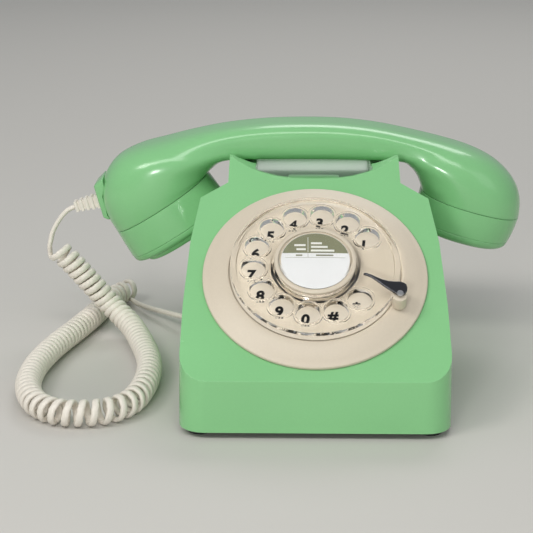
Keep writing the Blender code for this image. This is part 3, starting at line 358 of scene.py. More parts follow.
NODE_FINISHES = {
    "case_shell": "green", "handset_shell": "green", "mouthpiece_cap": "green", "earpiece_cap": "green",
    "cord_boss": "green", "hook_tab": "green",
    "dial_bezel": "cream", "stop_post": "cream", "wheel_hub": "cream", "number_plate": "ivory",
    "strain_relief": "cord", "cord_bush": "cord", "curly_cord": "cord", "cord_handset_lead": "cord",
    "cord_base_lead": "cord",
    "finger_wheel": "clear", "label_cover": "clear", "label_card": "card",
    "finger_stop": "dark_chrome",
    "base_plate": "painted", "foot_front_left": "rubber", "foot_front_right": "rubber",
    "foot_rear_left": "rubber", "foot_rear_right": "rubber",
    "main_gear": "brass", "governor_pinion": "brass", "governor_weights": "brass",
    "pulse_pinion": "brass", "gong_left": "brass", "gong_right": "brass", "clapper_ball": "brass",
    "ringer_coil": "copper", "line_transformer": "copper",
    "hook_switch": "black", "ringer_knob": "black", "capacitor": "black", "line_socket": "black",
    "circuit_board": "board", "pulse_cam": "nylon", "hook_stem": "nylon", "terminal_block": "nylon",
}


def finish_cad_nodes():
    """Give each CAD node its finish; those not named above are plated steel."""
    for name, node in NODES.items():
        finish = FINISHES[NODE_FINISHES.get(name, "steel")]
        node.data.materials.clear()
        node.data.materials.append(finish)


finish_cad_nodes()


# ---------------------------------------------------------------- shape helpers

def smooth_by_angle(mesh, degrees=40):
    """Shade smooth, and sharp where two faces meet at more than an angle."""
    mesh.shade_smooth()
    mesh.set_sharp_from_angle(angle=math.radians(degrees))


def new_piece(name, shape, finish, body, place=None, angle=40, stands_for=()):
    """Finish a piece from a bmesh: its place goes into its mesh, and it rides on a body."""
    if place is not None:
        bmesh.ops.transform(shape, matrix=place, verts=shape.verts)
    bmesh.ops.recalc_face_normals(shape, faces=shape.faces)
    mesh = bpy.data.meshes.new(name)
    shape.to_mesh(mesh)
    shape.free()
    smooth_by_angle(mesh, angle)
    mesh.materials.append(FINISHES[finish])
    piece = bpy.data.objects.new(name, mesh)
    bpy.context.scene.collection.objects.link(piece)
    if body:
        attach(piece, body)
    if stands_for:
        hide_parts(*stands_for)
    return piece


def applied(piece):
    """A bmesh of a piece with its modifiers applied; the piece goes."""
    bpy.context.view_layer.update()
    graph = bpy.context.evaluated_depsgraph_get()
    mesh = bpy.data.meshes.new_from_object(piece.evaluated_get(graph))
    shape = bmesh.new()
    shape.from_mesh(mesh)
    bpy.data.objects.remove(piece)
    bpy.data.meshes.remove(mesh)
    return shape


def holder(shape):
    """A bare object from a bmesh, for a modifier to work on."""
    bmesh.ops.recalc_face_normals(shape, faces=shape.faces)
    mesh = bpy.data.meshes.new("working")
    shape.to_mesh(mesh)
    shape.free()
    made = bpy.data.objects.new("working", mesh)
    bpy.context.scene.collection.objects.link(made)
    return made


def cut(shape, tool, operation="DIFFERENCE"):
    """Boolean of two bmeshes; both are used up."""
    body = holder(shape)
    other = holder(tool)
    step = body.modifiers.new("cut", "BOOLEAN")
    step.operation = operation
    step.solver = "EXACT"
    step.object = other
    result = applied(body)
    bpy.data.objects.remove(other)
    bmesh.ops.remove_doubles(result, verts=result.verts, dist=0.000002)
    return result


def rounded_edges(shape, width, segments=3, angle=30):
    """Round every edge sharper than an angle."""
    body = holder(shape)
    step = body.modifiers.new("round", "BEVEL")
    step.width = width
    step.segments = segments
    step.limit_method = "ANGLE"
    step.angle_limit = math.radians(angle)
    return applied(body)


def turned(profile, steps=96):
    """A round shape: a profile of (radius, height) turned about Z."""
    shape = bmesh.new()
    knots = [shape.verts.new((r, 0, h)) for r, h in profile]
    lines = [shape.edges.new(pair) for pair in zip(knots, knots[1:])]
    if min(r for r, _ in profile) > 0.00001:
        lines.append(shape.edges.new((knots[-1], knots[0])))
    bmesh.ops.spin(shape, geom=knots + lines, axis=(0, 0, 1), cent=(0, 0, 0), dvec=(0, 0, 0),
                   angle=2 * math.pi, steps=steps, use_merge=True)
    bmesh.ops.remove_doubles(shape, verts=shape.verts, dist=0.000001)
    return shape


def rod(radius, low, high, centre=(0, 0), segments=32, top_radius=None):
    """A round rod along Z."""
    shape = bmesh.new()
    middle = Matrix.Translation((centre[0], centre[1], (low + high) / 2))
    bmesh.ops.create_cone(shape, cap_ends=True, segments=segments, radius1=radius,
                          radius2=radius if top_radius is None else top_radius,
                          depth=high - low, matrix=middle)
    return shape


def block(size, centre):
    """A box."""
    shape = bmesh.new()
    bmesh.ops.create_cube(shape, size=1.0, matrix=Matrix.Translation(centre) @ Matrix.Diagonal((*size, 1)))
    return shape


def merged(shapes):
    """Several bmeshes in one."""
    whole = bmesh.new()
    for shape in shapes:
        mesh = bpy.data.meshes.new("joined")
        shape.to_mesh(mesh)
        shape.free()
        whole.from_mesh(mesh)
        bpy.data.meshes.remove(mesh)
    return whole


def skin(rings, close_ends=False):
    """A surface through a row of rings with the same number of points."""
    shape = bmesh.new()
    rows = [[shape.verts.new(point) for point in ring] for ring in rings]
    for low, high in zip(rows, rows[1:]):
        for i in range(len(low)):
            j = (i + 1) % len(low)
            shape.faces.new((low[i], low[j], high[j], high[i]))
    if close_ends:
        shape.faces.new(rows[0][::-1])
        shape.faces.new(rows[-1])
    bmesh.ops.recalc_face_normals(shape, faces=shape.faces)
    return shape


def cad_copy(node):
    """A copy of a CAD node's mesh with its triangles joined up again."""
    shape = bmesh.new()
    shape.from_mesh(NODES[node].data)
    bmesh.ops.remove_doubles(shape, verts=shape.verts, dist=0.00002)
    bmesh.ops.dissolve_limit(shape, angle_limit=math.radians(0.6), verts=shape.verts, edges=shape.edges)
    return shape


def curve_through(knots, spacing):
    """Points at an even spacing on a smooth curve through a few knots."""
    knots = [Vector(k) for k in knots]
    ends = [knots[0] * 2 - knots[1], *knots, knots[-1] * 2 - knots[-2]]
    fine = []
    for before, start, end, after in zip(ends, ends[1:], ends[2:], ends[3:]):
        for step in range(32):
            t = step / 32
            fine.append((start * 2 + (end - before) * t
                         + (before * 2 - start * 5 + end * 4 - after) * t ** 2
                         + (start * 3 - before - end * 3 + after) * t ** 3) / 2)
    fine.append(knots[-1])
    lengths = [0.0]
    for a, b in zip(fine, fine[1:]):
        lengths.append(lengths[-1] + (b - a).length)
    count = max(2, round(lengths[-1] / spacing))
    path = []
    index = 0
    for step in range(count + 1):
        target = lengths[-1] * step / count
        while index < len(fine) - 2 and lengths[index + 1] < target:
            index += 1
        span = max(lengths[index + 1] - lengths[index], 1e-9)
        path.append(fine[index].lerp(fine[index + 1], (target - lengths[index]) / span))
    return path


# ---------------------------------------------------------------- cord

# The cord's route in millimetres. The curl's is the CAD's; the leads run on into the sleeve and the bush
LEAD_OUT = [(-131.4, 48, 75.7), (-133.4, 48, 75.2), (-137.6, 48, 73.0), (-142.0, 48, 68.0),
            (-146.0, 48, 61.0), (-148.0, 47.6, 53.5)]
CURL = [(-144.0, 48, 50.0), (-136.0, 48, 42.5), (-124.0, 47, 29.0), (-112.0, 45, 16.0),
        (-101.0, 33, 9.2), (-91.5, 4, 7.0), (-86.6, -22, 7.0), (-86.6, -48, 7.0), (-91.0, -71, 7.0),
        (-100.0, -83, 7.0), (-113.0, -87.5, 7.0), (-127.0, -85.5, 7.0), (-139.0, -74, 7.0),
        (-146.0, -53, 7.0), (-147.0, -28, 7.0), (-144.0, -6, 7.0), (-139.5, 13, 7.0),
        (-133.5, 33, 7.0), (-127.5, 55, 7.0), (-122.0, 78, 7.0), (-117.0, 97, 7.0),
        (-110.0, 109, 7.0)]
LEAD_IN = [(-103.6, 92.4, 3.2), (-98.0, 84.0, 4.0), (-90.5, 74.4, 5.3), (-82.5, 64.2, 6.9),
           (-75.0, 54.6, 8.4), (-69.0, 47.8, 9.4), (-65.0, 46.9, 9.5)]
CURL_RADIUS = 6.75 * MM
STRAP_WIDTH = 3.7 * MM
STRAP_THICK = 2.4 * MM
LEAD_HALF_WIDTH = 1.65
LEAD_HALF_THICK = 1.35
STRAP_SIDES = 12
STRAP_SQUARENESS = 0.86
EASING_POINTS = 12
AXIS_SPACING = 0.35 * MM
LEAD_SPACING = 1.4 * MM
BRIDGE_SPACING = 1.2 * MM
POINTS_PER_TURN = 26
TIGHT_PITCH = 4.3
BEND_PITCH = 2.1
FIRST_TURN_PITCH = 2.2
LAST_TURN_PITCH = 2.6
BEND_PLACE = 0.44
BEND_SPAN = 0.11
FIRST_TURN_SPAN = 0.02
LAST_TURN_SPAN = 0.05


def in_metres(points):
    """The same points in metres, from the telephone's origin."""
    return [Vector(point) * MM + Vector((CASE_OFFSET, 0, 0)) for point in points]


def coil_points():
    """Centre line of the strap round the curl, and its outward direction at each point."""
    axis = curve_through(in_metres(CURL), AXIS_SPACING)
    tangents = [(b - a).normalized() for a, b in zip(axis, axis[1:])]
    tangents.append(tangents[-1])
    side = Vector((-0.68, 0, -0.73))
    side = (side - tangents[0] * side.dot(tangents[0])).normalized()
    travelled = 0.0
    angle = 0.0
    points = []
    outward = []
    reach = CURL_RADIUS - STRAP_THICK / 2
    total = AXIS_SPACING * (len(axis) - 1)
    step_angle = 2 * math.pi / POINTS_PER_TURN
    next_angle = 0.0
    for index, (spot, along) in enumerate(zip(axis, tangents)):
        side = (side - along * side.dot(along)).normalized()
        other = along.cross(side)
        if index:
            length = (spot - axis[index - 1]).length
            travelled += length
            share = travelled / total
            bend = math.exp(-((share - BEND_PLACE) / BEND_SPAN) ** 2)
            start = math.exp(-(share / FIRST_TURN_SPAN) ** 2)
            finish = math.exp(-((1 - share) / LAST_TURN_SPAN) ** 2)
            pitch = (TIGHT_PITCH + BEND_PITCH * bend + FIRST_TURN_PITCH * start
                     + LAST_TURN_PITCH * finish) * MM
            angle += length / pitch * 2 * math.pi
        while angle >= next_angle:
            direction = side * math.cos(next_angle) - other * math.sin(next_angle)
            points.append(spot + direction * reach)
            outward.append(direction)
            next_angle += step_angle
    return points, outward


def bridge_points(start, start_way, end, end_way, spacing, pull=0.45):
    """A smooth join between two ends that already point somewhere."""
    reach = (end - start).length * pull * 2
    count = max(3, round((end - start).length * 1.2 / spacing))
    path = []
    for step in range(1, count):
        t = step / count
        path.append(start * (2 * t ** 3 - 3 * t ** 2 + 1) + start_way * reach * (t ** 3 - 2 * t ** 2 + t)
                    + end * (3 * t ** 2 - 2 * t ** 3) + end_way * reach * (t ** 3 - t ** 2))
    return path


def build_cord():
    """The whole handset cord as one strap: lead, curl and lead."""
    lead = curve_through(in_metres(LEAD_OUT), LEAD_SPACING)
    tail = curve_through(in_metres(LEAD_IN), LEAD_SPACING)
    coil, outward = coil_points()
    into = bridge_points(lead[-1], (lead[-1] - lead[-2]).normalized(), coil[0],
                         (coil[1] - coil[0]).normalized(), BRIDGE_SPACING)
    out = bridge_points(coil[-1], (coil[-1] - coil[-2]).normalized(), tail[0],
                        (tail[1] - tail[0]).normalized(), BRIDGE_SPACING)
    path = lead + into + coil + out + tail
    first = len(lead) + len(into)
    last = first + len(coil)
    facing = [None] * len(path)
    for index, direction in enumerate(outward):
        facing[first + index] = direction
    tangents = []
    for index in range(len(path)):
        before = path[max(index - 1, 0)]
        after = path[min(index + 1, len(path) - 1)]
        tangents.append((after - before).normalized())
    for index in range(first - 1, -1, -1):
        way = facing[index + 1]
        facing[index] = (way - tangents[index] * way.dot(tangents[index])).normalized()
    for index in range(last, len(path)):
        way = facing[index - 1]
        facing[index] = (way - tangents[index] * way.dot(tangents[index])).normalized()
    rings = []
    for index, (spot, along, up) in enumerate(zip(path, tangents, facing)):
        up = (up - along * up.dot(along)).normalized()
        across = along.cross(up)
        if index < first:
            flat = max(0.0, 1 - (first - index) / EASING_POINTS)
        elif index >= last:
            flat = max(0.0, 1 - (index - last) / EASING_POINTS)
        else:
            flat = 1.0
        half_width = (LEAD_HALF_WIDTH + flat * (STRAP_WIDTH / MM / 2 - LEAD_HALF_WIDTH)) * MM
        half_thick = (LEAD_HALF_THICK + flat * (STRAP_THICK / MM / 2 - LEAD_HALF_THICK)) * MM
        ring = []
        for step in range(STRAP_SIDES):
            turn = step / STRAP_SIDES * 2 * math.pi
            wide = math.copysign(abs(math.cos(turn)) ** STRAP_SQUARENESS, math.cos(turn))
            thick = math.copysign(abs(math.sin(turn)) ** STRAP_SQUARENESS, math.sin(turn))
            ring.append(spot + across * half_width * wide + up * half_thick * thick)
        rings.append(ring)
    cord = new_piece("handset_cord", skin(rings, close_ends=True), "cord", None, angle=60,
                     stands_for=("curly_cord", "cord_handset_lead", "cord_base_lead"))
    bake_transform(cord)


build_cord()


# ---------------------------------------------------------------- case

FOOT_ROUNDING = 0.5
CREASE_ROUNDING = 2.6
OPENING_ROUNDING = 0.3
HORN_ROUNDING = 1.3
WALL_ROUNDING = 1.8
WIDEST_ROUNDING = 3.0


def edge_rounding(middle, on_face):
    """How far an outer edge of the case is rounded, in millimetres, from where it lies."""
    if middle.z < 0.006:
        return FOOT_ROUNDING
    if on_face and middle.z < 0.098 and (abs(middle.x) > 0.05 or middle.y < -0.095):
        return CREASE_ROUNDING
    if on_face and abs(middle.x) < 0.0535 and middle.z < 0.1:
        return OPENING_ROUNDING
    if middle.z > 0.0985:
        return HORN_ROUNDING
    if middle.y > 0.09 and middle.z < 0.03:
        return OPENING_ROUNDING
    return WALL_ROUNDING


def build_case():
    """The case's shell with its edges rounded as moulded."""
    shape = cad_copy("case_shell")
    tree = BVHTree.FromBMesh(shape)
    weights = shape.edges.layers.float.new("bevel_weight_edge")
    for edge in shape.edges:
        if len(edge.link_faces) != 2 or edge.calc_length() < 0.0002:
            continue
        first, second = (face.normal for face in edge.link_faces)
        if first.angle(second, 0) < math.radians(20):
            continue
        away = first + second
        if away.length < 0.1:
            continue
        away.normalize()
        middle = (edge.verts[0].co + edge.verts[1].co) / 2
        if tree.ray_cast(middle + away * 0.0003, away, 0.5)[0] is not None:
            continue
        on_face = max(first.dot(FACE_NORMAL), second.dot(FACE_NORMAL)) > 0.999
        edge[weights] = edge_rounding(middle, on_face) / WIDEST_ROUNDING
    body = holder(shape)
    step = body.modifiers.new("round", "BEVEL")
    step.width = WIDEST_ROUNDING * MM
    step.segments = 4
    step.limit_method = "WEIGHT"
    step.use_clamp_overlap = True
    step.miter_outer = "MITER_ARC"
    shape = applied(body)
    case = new_piece("case_moulding", shape, "green", "base", angle=28, stands_for=("case_shell",))
    even = case.modifiers.new("even", "WEIGHTED_NORMAL")
    even.keep_sharp = True


def build_hook_tab():
    """The tab between the horns, with softened edges."""
    tab = rounded_edges(cad_copy("hook_tab"), 0.0004, 2, 50)
    piece = new_piece("hook_tab_moulding", tab, "green", "hook", stands_for=("hook_tab",))


build_case()
build_hook_tab()


# ---------------------------------------------------------------- handset

HANDSET_STATIONS = [
    ((-109.4, 58.9), (-59.3, 92.0), 26.0, 2.3),
    ((-111.8, 63.0), (-61.0, 96.0), 26.3, 2.3),
    ((-117.0, 72.5), (-59.6, 97.2), 27.0, 2.3),
    ((-119.4, 83.0), (-58.6, 98.2), 27.2, 2.3),
    ((-117.4, 94.8), (-57.4, 99.2), 27.0, 2.3),
    ((-110.8, 104.2), (-56.0, 100.5), 26.4, 2.35),
    ((-99.2, 110.4), (-54.2, 102.0), 25.0, 2.4),
    ((-84.8, 114.4), (-51.8, 103.4), 22.6, 2.6),
    ((-69.0, 118.4), (-48.0, 104.4), 20.2, 3.0),
    ((-51.0, 122.0), (-40.0, 104.9), 18.6, 3.5),
    ((-31.0, 124.3), (-27.0, 105.0), 18.0, 3.8),
    ((-10.0, 125.2), (-9.5, 105.1), 18.0, 3.8),
    ((12.0, 124.8), (10.5, 105.0), 18.0, 3.8),
    ((33.0, 122.5), (27.0, 104.8), 18.0, 3.7),
    ((52.5, 118.6), (39.0, 104.6), 18.6, 3.3),
    ((70.5, 114.3), (46.6, 103.4), 20.4, 2.8),
    ((86.2, 109.4), (50.4, 100.8), 23.4, 2.5),
    ((99.2, 102.6), (53.0, 98.0), 25.6, 2.35),
    ((108.4, 93.2), (55.0, 95.0), 26.8, 2.3),
    ((112.4, 83.0), (56.6, 91.4), 27.2, 2.3),
    ((112.3, 72.3), (57.8, 87.2), 27.0, 2.3),
    ((111.4, 67.7), (56.7, 82.8), 27.0, 2.3),
]
MOUTH_SEAM = ((-111.8, 63.0), (-61.0, 96.0))
EAR_SEAM = ((112.3, 72.3), (57.8, 87.2))
RING_POINTS = 72
RINGS_PER_STATION = 5
SEAM_REACH = 45 * MM
SHELL_WALL = 2.2 * MM
RIM_ROUNDING = 0.3 * MM


def handset_point(x, z):
    """A point of the handset's side outline."""
    return Vector((x * MM + HANDSET_SHIFT, z * MM))


def seam_frame(outer, inner, facing):
    """Frame of a cap: Z points out of the handset, X runs towards the grip."""
    a = handset_point(*outer)
    b = handset_point(*inner)
    along = (b - a).normalized()
    out = Vector((along.y, -along.x)) * facing
    x_axis = Vector((along.x, 0, along.y))
    z_axis = Vector((out.x, 0, out.y))
    spin = Matrix((x_axis, z_axis.cross(x_axis), z_axis)).transposed()
    middle = (a + b) / 2
    return Matrix.LocRotScale(Vector((middle.x, HANDSET_BACK, middle.y)), spin, None), (b - a).length / 2


def rounded_ring(point_at, squareness):
    """Points of a rounded section from its two half directions."""
    ring = []
    for step in range(RING_POINTS):
        turn = step / RING_POINTS * 2 * math.pi
        along = math.copysign(abs(math.cos(turn)) ** (2 / squareness), math.cos(turn))
        across = math.copysign(abs(math.sin(turn)) ** (2 / squareness), math.sin(turn))
        ring.append(point_at(along, across))
    return ring


def handset_rings(steps):
    """Fine sections along the handset, smooth between the stations."""
    stations = [(handset_point(*o), handset_point(*i), d * MM, s) for o, i, d, s in HANDSET_STATIONS]
    first = [2 * a - b for a, b in zip(stations[0], stations[1])]
    last = [2 * a - b for a, b in zip(stations[-1], stations[-2])]
    ends = [first, *stations, last]
    rings = []
    for index in range(len(stations) - 1):
        for step in range(steps):
            t = step / steps
            outer, inner, depth, square = (
                (b * 2 + (c - a) * t + (a * 2 - b * 5 + c * 4 - d) * t ** 2
                 + (b * 3 - a - c * 3 + d) * t ** 3) / 2
                for a, b, c, d in zip(*ends[index:index + 4]))
            centre = (outer + inner) / 2
            reach = (outer - inner) / 2
            rings.append(rounded_ring(
                lambda u, v: Vector((centre.x + reach.x * u, HANDSET_BACK + depth * v,
                                     centre.y + reach.y * u)), square))
    return rings


def build_handset_shell(seams):
    """The handle and the two bowls as one thin moulding."""
    shape = skin(handset_rings(RINGS_PER_STATION))
    for seam in seams:
        middle = seam.to_translation()
        near = [face for face in shape.faces
                if (face.calc_center_median() - middle).length < SEAM_REACH]
        edges = {edge for face in near for edge in face.edges}
        verts = {vert for face in near for vert in face.verts}
        bmesh.ops.bisect_plane(shape, geom=near + list(edges) + list(verts), plane_co=middle,
                               plane_no=seam.to_3x3().col[2], dist=0.00001, clear_outer=True)
    bmesh.ops.remove_doubles(shape, verts=shape.verts, dist=0.00008)
    shell = new_piece("handset_moulding", shape, "green", "handset", angle=60,
                      stands_for=("handset_shell",))
    wall = shell.modifiers.new("wall", "SOLIDIFY")
    wall.thickness = SHELL_WALL
    wall.offset = -1
    rim = shell.modifiers.new("rim", "BEVEL")
    rim.width = RIM_ROUNDING
    rim.segments = 2
    rim.limit_method = "ANGLE"
    rim.angle_limit = math.radians(50)


def cap_rings(steps, squareness=2.3):
    """Rings of a cap from its (height, half length, half depth) steps in millimetres."""
    rings = []
    for height, half_x, half_y in steps:
        rings.append(rounded_ring(
            lambda u, v: Vector((half_x * MM * u, half_y * MM * v, height * MM)), squareness))
    return rings


def build_cap(name, node, seam, outside, inside, holes):
    """A cap with its grooves, rounded rim and sound holes."""
    cup = cut(skin(cap_rings(outside), True), skin(cap_rings(inside), True))
    cup = cut(cup, holes)
    piece = new_piece(name, cup, "green", "handset", seam, 32, (node,))


def sound_holes(rows, radius, low, high):
    """Cutter for rings of small holes."""
    holes = [rod(radius, low, high, (0, 0), 16)]
    for count, circle in rows:
        for number in range(count):
            turn = number / count * 2 * math.pi
            spot = (circle * math.cos(turn), circle * math.sin(turn))
            holes.append(rod(radius, low, high, spot, 16))
    return merged(holes)


def rounding(height, half_x, half_y, drop, inset, steps=6):
    """Steps of a rounded edge from a wall into a face."""
    made = []
    for step in range(steps + 1):
        turn = step / steps * math.pi / 2
        made.append((height + drop * math.sin(turn), half_x - inset * (1 - math.cos(turn)),
                     half_y - inset * (1 - math.cos(turn))))
    return made


def build_handset():
    """Shell, caps and boss of the handset."""
    mouth, mouth_half = seam_frame(*MOUTH_SEAM, 1)
    ear, ear_half = seam_frame(*EAR_SEAM, -1)
    build_handset_shell((mouth, ear))
    a = mouth_half / MM
    outside = [(0.25, a - 0.45, 25.85), (0.6, a, 26.3), (8.0, a + 0.5, 26.7), (16.6, a + 0.8, 26.9),
               (16.85, a + 0.45, 26.55), (17.15, a + 0.45, 26.55), (17.4, a + 0.7, 26.8)]
    outside += rounding(18.4, a + 0.6, 26.7, 2.6, 3.0)
    outside += [(21.0, 25.4, 22.4), (21.3, 24.9, 21.9)]
    outside += rounding(22.4, 24.6, 21.6, 1.9, 2.2, 5)
    inside = [(-2.0, a - 2.4, 23.9), (17.0, a - 2.4, 23.9), (19.0, 20.0, 18.0), (22.0, 19.0, 17.0)]
    build_cap("mouthpiece_moulding", "mouthpiece_cap", mouth, outside, inside,
              sound_holes(((6, 6 * MM), (12, 12 * MM)), 1.1 * MM, 20 * MM, 28 * MM))
    b = ear_half / MM
    outside = [(0.25, b - 0.45, 26.55), (0.6, b, 27.0), (5.0, b - 0.15, 26.9), (10.0, b - 0.6, 26.5),
               (14.6, b - 1.5, 25.6), (14.85, b - 1.9, 25.2), (15.15, b - 1.9, 25.2),
               (15.4, b - 1.7, 25.4)]
    outside += rounding(15.6, b - 1.8, 25.3, 4.9, 7.8, 8)
    inside = [(-2.0, b - 2.8, 24.2), (12.5, b - 3.6, 23.6), (17.4, b - 8.8, 18.6)]
    build_cap("earpiece_moulding", "earpiece_cap", ear, outside, inside,
              sound_holes(((6, 5.5 * MM), (12, 11 * MM)), 1.1 * MM, 15 * MM, 24 * MM))
    boss = rounded_edges(cad_copy("cord_boss"), 0.0011, 4, 35)
    piece = new_piece("cord_boss_moulding", boss, "green", "handset", stands_for=("cord_boss",))


build_handset()


# ---------------------------------------------------------------- dial

def arc_profile(centre, radius, start, end, steps):
    """Points of an arc in (radius, height)."""
    points = []
    for step in range(steps + 1):
        turn = math.radians(start + (end - start) * step / steps)
        points.append((centre[0] + radius * math.cos(turn), centre[1] + radius * math.sin(turn)))
    return points


def in_mm(profile):
    """A profile in metres from millimetres."""
    return [(r * MM, h * MM) for r, h in profile]


def build_bezel():
    """The cream surround: a shallow dome that falls to the case, with a lip at the wheel."""
    profile = [(43.0, 4.6), (43.0, 5.3)]
    profile += arc_profile((43.5, 5.3), 0.5, 180, 90, 4)[1:]
    profile += [(44.6, 5.75), (47.0, 5.2), (50.0, 4.3), (53.0, 3.1), (55.0, 2.1)]
    profile += arc_profile((55.2, 1.1), 1.0, 60, 0, 5)
    profile += [(56.2, 0.5), (56.0, 0.3), (51.0, 0.3), (51.0, -3.0), (49.5, -3.0), (42.0, 2.0),
                (20.2, 2.0), (20.2, 4.4), (42.8, 4.4)]
    piece = new_piece("bezel_moulding", turned(in_mm(profile), 160), "cream", "base", DIAL, 30,
                      ("dial_bezel",))


def build_number_plate():
    """The flat ring under the finger wheel, with its edges eased."""
    profile = [(42.3, 5.4), (42.3, 4.7), (21.2, 4.7), (21.2, 5.5), (23.0, 5.6), (41.9, 5.6)]
    plate = turned(in_mm(profile), 128)
    piece = new_piece("number_plate_moulding", plate, "ivory", "base", DIAL, 30, ("number_plate",))


def text_mesh(body, size, weight, lean):
    """One numeral as a flat mesh, centred on the origin."""
    data = bpy.data.curves.new("numeral", "FONT")
    data.body = body
    data.size = size
    data.offset = weight
    data.shear = lean
    data.align_x = "CENTER"
    data.align_y = "CENTER"
    data.extrude = 0.00004
    data.resolution_u = 6
    letter = bpy.data.objects.new("numeral", data)
    bpy.context.scene.collection.objects.link(letter)
    shape = applied(letter)
    bmesh.ops.remove_doubles(shape, verts=shape.verts, dist=0.000001)
    low = [min(v.co[i] for v in shape.verts) for i in (0, 1)]
    high = [max(v.co[i] for v in shape.verts) for i in (0, 1)]
    bmesh.ops.translate(shape, verts=shape.verts,
                        vec=(-(low[0] + high[0]) / 2, -(low[1] + high[1]) / 2, 0))
    return shape


NUMERAL_CIRCLE = 30.3
NUMERAL_SHIFT = (-1.3, -0.2)
NUMERAL_LEVEL = 5.63
NUMERAL_SIZE = 8.0 * MM
NUMERAL_WEIGHT = 0.00036
NUMERAL_LEAN = 0.10
DASH_PITCH = 1.5 * MM
DASH_DROP = 4.2 * MM
DASH_SIZE = (1.0 * MM, 0.55 * MM, 0.06 * MM)


def build_numerals():
    """The numbers printed round the plate, and a row of dashes under most of them."""
    marks = []
    for number, body in enumerate("1234567890#*"):
        turn = FIRST_HOLE + number * HOLE_STEP
        centre = Vector((NUMERAL_CIRCLE * math.cos(turn) + NUMERAL_SHIFT[0],
                         NUMERAL_CIRCLE * math.sin(turn) + NUMERAL_SHIFT[1], NUMERAL_LEVEL)) * MM
        shape = text_mesh(body, NUMERAL_SIZE, NUMERAL_WEIGHT, NUMERAL_LEAN)
        bmesh.ops.translate(shape, verts=shape.verts, vec=centre)
        marks.append(shape)
        if 1 <= number <= 9:
            for dash in range(3):
                spot = centre + Vector(((dash - 1) * DASH_PITCH, -DASH_DROP, 0))
                marks.append(block(DASH_SIZE, spot))
    new_piece("numerals", merged(marks), "ink", "base", DIAL, 30)


FINGER_HOLES = 12
COLLAR_RADIUS = 7.3 * MM
HOLE_RADIUS = 5.9 * MM
HOLE_TOP_RADIUS = 6.3 * MM


def build_wheel():
    """The clear finger wheel: a thin plate with a raised rim and a collar at each hole."""
    profile = [(42.1, 11.0), (42.1, 8.5), (41.8, 8.2), (19.6, 8.2), (19.6, 11.3), (21.4, 11.3),
               (22.6, 10.1), (38.8, 10.1), (39.3, 11.2), (39.6, 11.4), (41.7, 11.4)]
    wheel = turned(in_mm(profile), 128)
    collars = []
    holes = []
    for number in range(FINGER_HOLES):
        turn = FIRST_HOLE + number * HOLE_STEP
        spot = (FINGER_CIRCLE * math.cos(turn), FINGER_CIRCLE * math.sin(turn))
        collars.append(rod(COLLAR_RADIUS, 8.25 * MM, 11.35 * MM, spot, 48))
        holes.append(rod(HOLE_RADIUS, 7.5 * MM, 13 * MM, spot, 48, HOLE_TOP_RADIUS))
    for collar in collars:
        wheel = cut(wheel, collar, "UNION")
    wheel = cut(wheel, merged(holes))
    wheel = rounded_edges(wheel, 0.00045, 3, 38)
    piece = new_piece("finger_wheel_moulding", wheel, "clear", "dial", DIAL, 25, ("finger_wheel",))


CARD_TOP = 13.2
BAND_TOP = 13.26
LINE_LEVEL = 13.22 * MM
BAR_LEVEL = 13.29 * MM


def build_hub():
    """The hub's cream ring, the card with its printing, and the clear cover over it."""
    ring = [(18.2, 12.5), (3.4, 12.5), (3.4, 11.7), (18.4, 11.7), (18.4, 6.3), (19.2, 6.3),
            (19.2, 11.7), (19.9, 11.7), (20.3, 12.1), (20.3, 12.8)]
    ring += arc_profile((19.6, 12.8), 0.7, 0, 90, 4)
    ring += [(18.9, 13.7)]
    ring += arc_profile((18.8, 13.1), 0.6, 90, 180, 4)
    piece = new_piece("hub_ring", turned(in_mm(ring), 128), "cream", "dial", DIAL, 30, ("wheel_hub",))
    disc = turned(in_mm([(0, CARD_TOP), (17.0, CARD_TOP), (17.0, 12.85), (0, 12.85)]), 96)
    card = new_piece("number_card", disc, "card", "dial", DIAL, 30, ("label_card",))
    band = rod(16.8 * MM, CARD_TOP * MM, BAND_TOP * MM, segments=96)
    bmesh.ops.bisect_plane(band, geom=band.verts[:] + band.edges[:] + band.faces[:],
                           plane_co=(0, 4.3 * MM, 0), plane_no=(0, -1, 0), clear_outer=True)
    open_edges = [e for e in band.edges if len(e.link_faces) == 1]
    bmesh.ops.contextual_create(band, geom=open_edges)
    new_piece("card_band", band, "olive", "dial", DIAL, 30)
    bars = [block((0.22 * MM, 9.4 * MM, 0.06 * MM), (-3.6 * MM, 9.6 * MM, BAR_LEVEL))]
    for x, y, width in ((-7.6, 9.2, 5.6), (-7.0, 6.6, 4.6), (0.6, 10.4, 5.4), (2.0, 8.1, 8.2),
                        (3.6, 5.8, 11.6)):
        bars.append(block((width * MM, 1.15 * MM, 0.06 * MM), (x * MM, y * MM, BAR_LEVEL)))
    new_piece("card_bars", merged(bars), "chalk", "dial", DIAL, 30)
    lines = []
    for x, y, width, height in ((0, 1.5, 29.5, 0.16), (-3.6, 2.9, 0.16, 2.6), (-8.0, 2.9, 3.2, 0.9),
                                (4.6, 2.9, 8.6, 0.9)):
        lines.append(block((width * MM, height * MM, 0.05 * MM), (x * MM, y * MM, LINE_LEVEL)))
    new_piece("card_lines", merged(lines), "olive", "dial", DIAL, 30)
    dome = [(0, 15.0), (6, 14.95), (11, 14.75), (15.2, 14.4)]
    dome += arc_profile((17.1, 13.75), 0.8, 60, 0, 5)
    dome += [(17.9, 13.5), (0, 13.5)]
    cover = new_piece("card_cover", turned(in_mm(dome), 96), "clear", "dial", DIAL, 30,
                      ("label_cover",))


BLADE_LEVEL = 13.7 * MM
BLADE_THICK = 1.3 * MM
BLADE_START = 23.4 * MM
BLADE_LENGTH = 20 * MM
BLADE_BOW = 0.9
PILLAR_CIRCLE = 46 * MM
PILLAR_TURN = math.radians(-27.5)


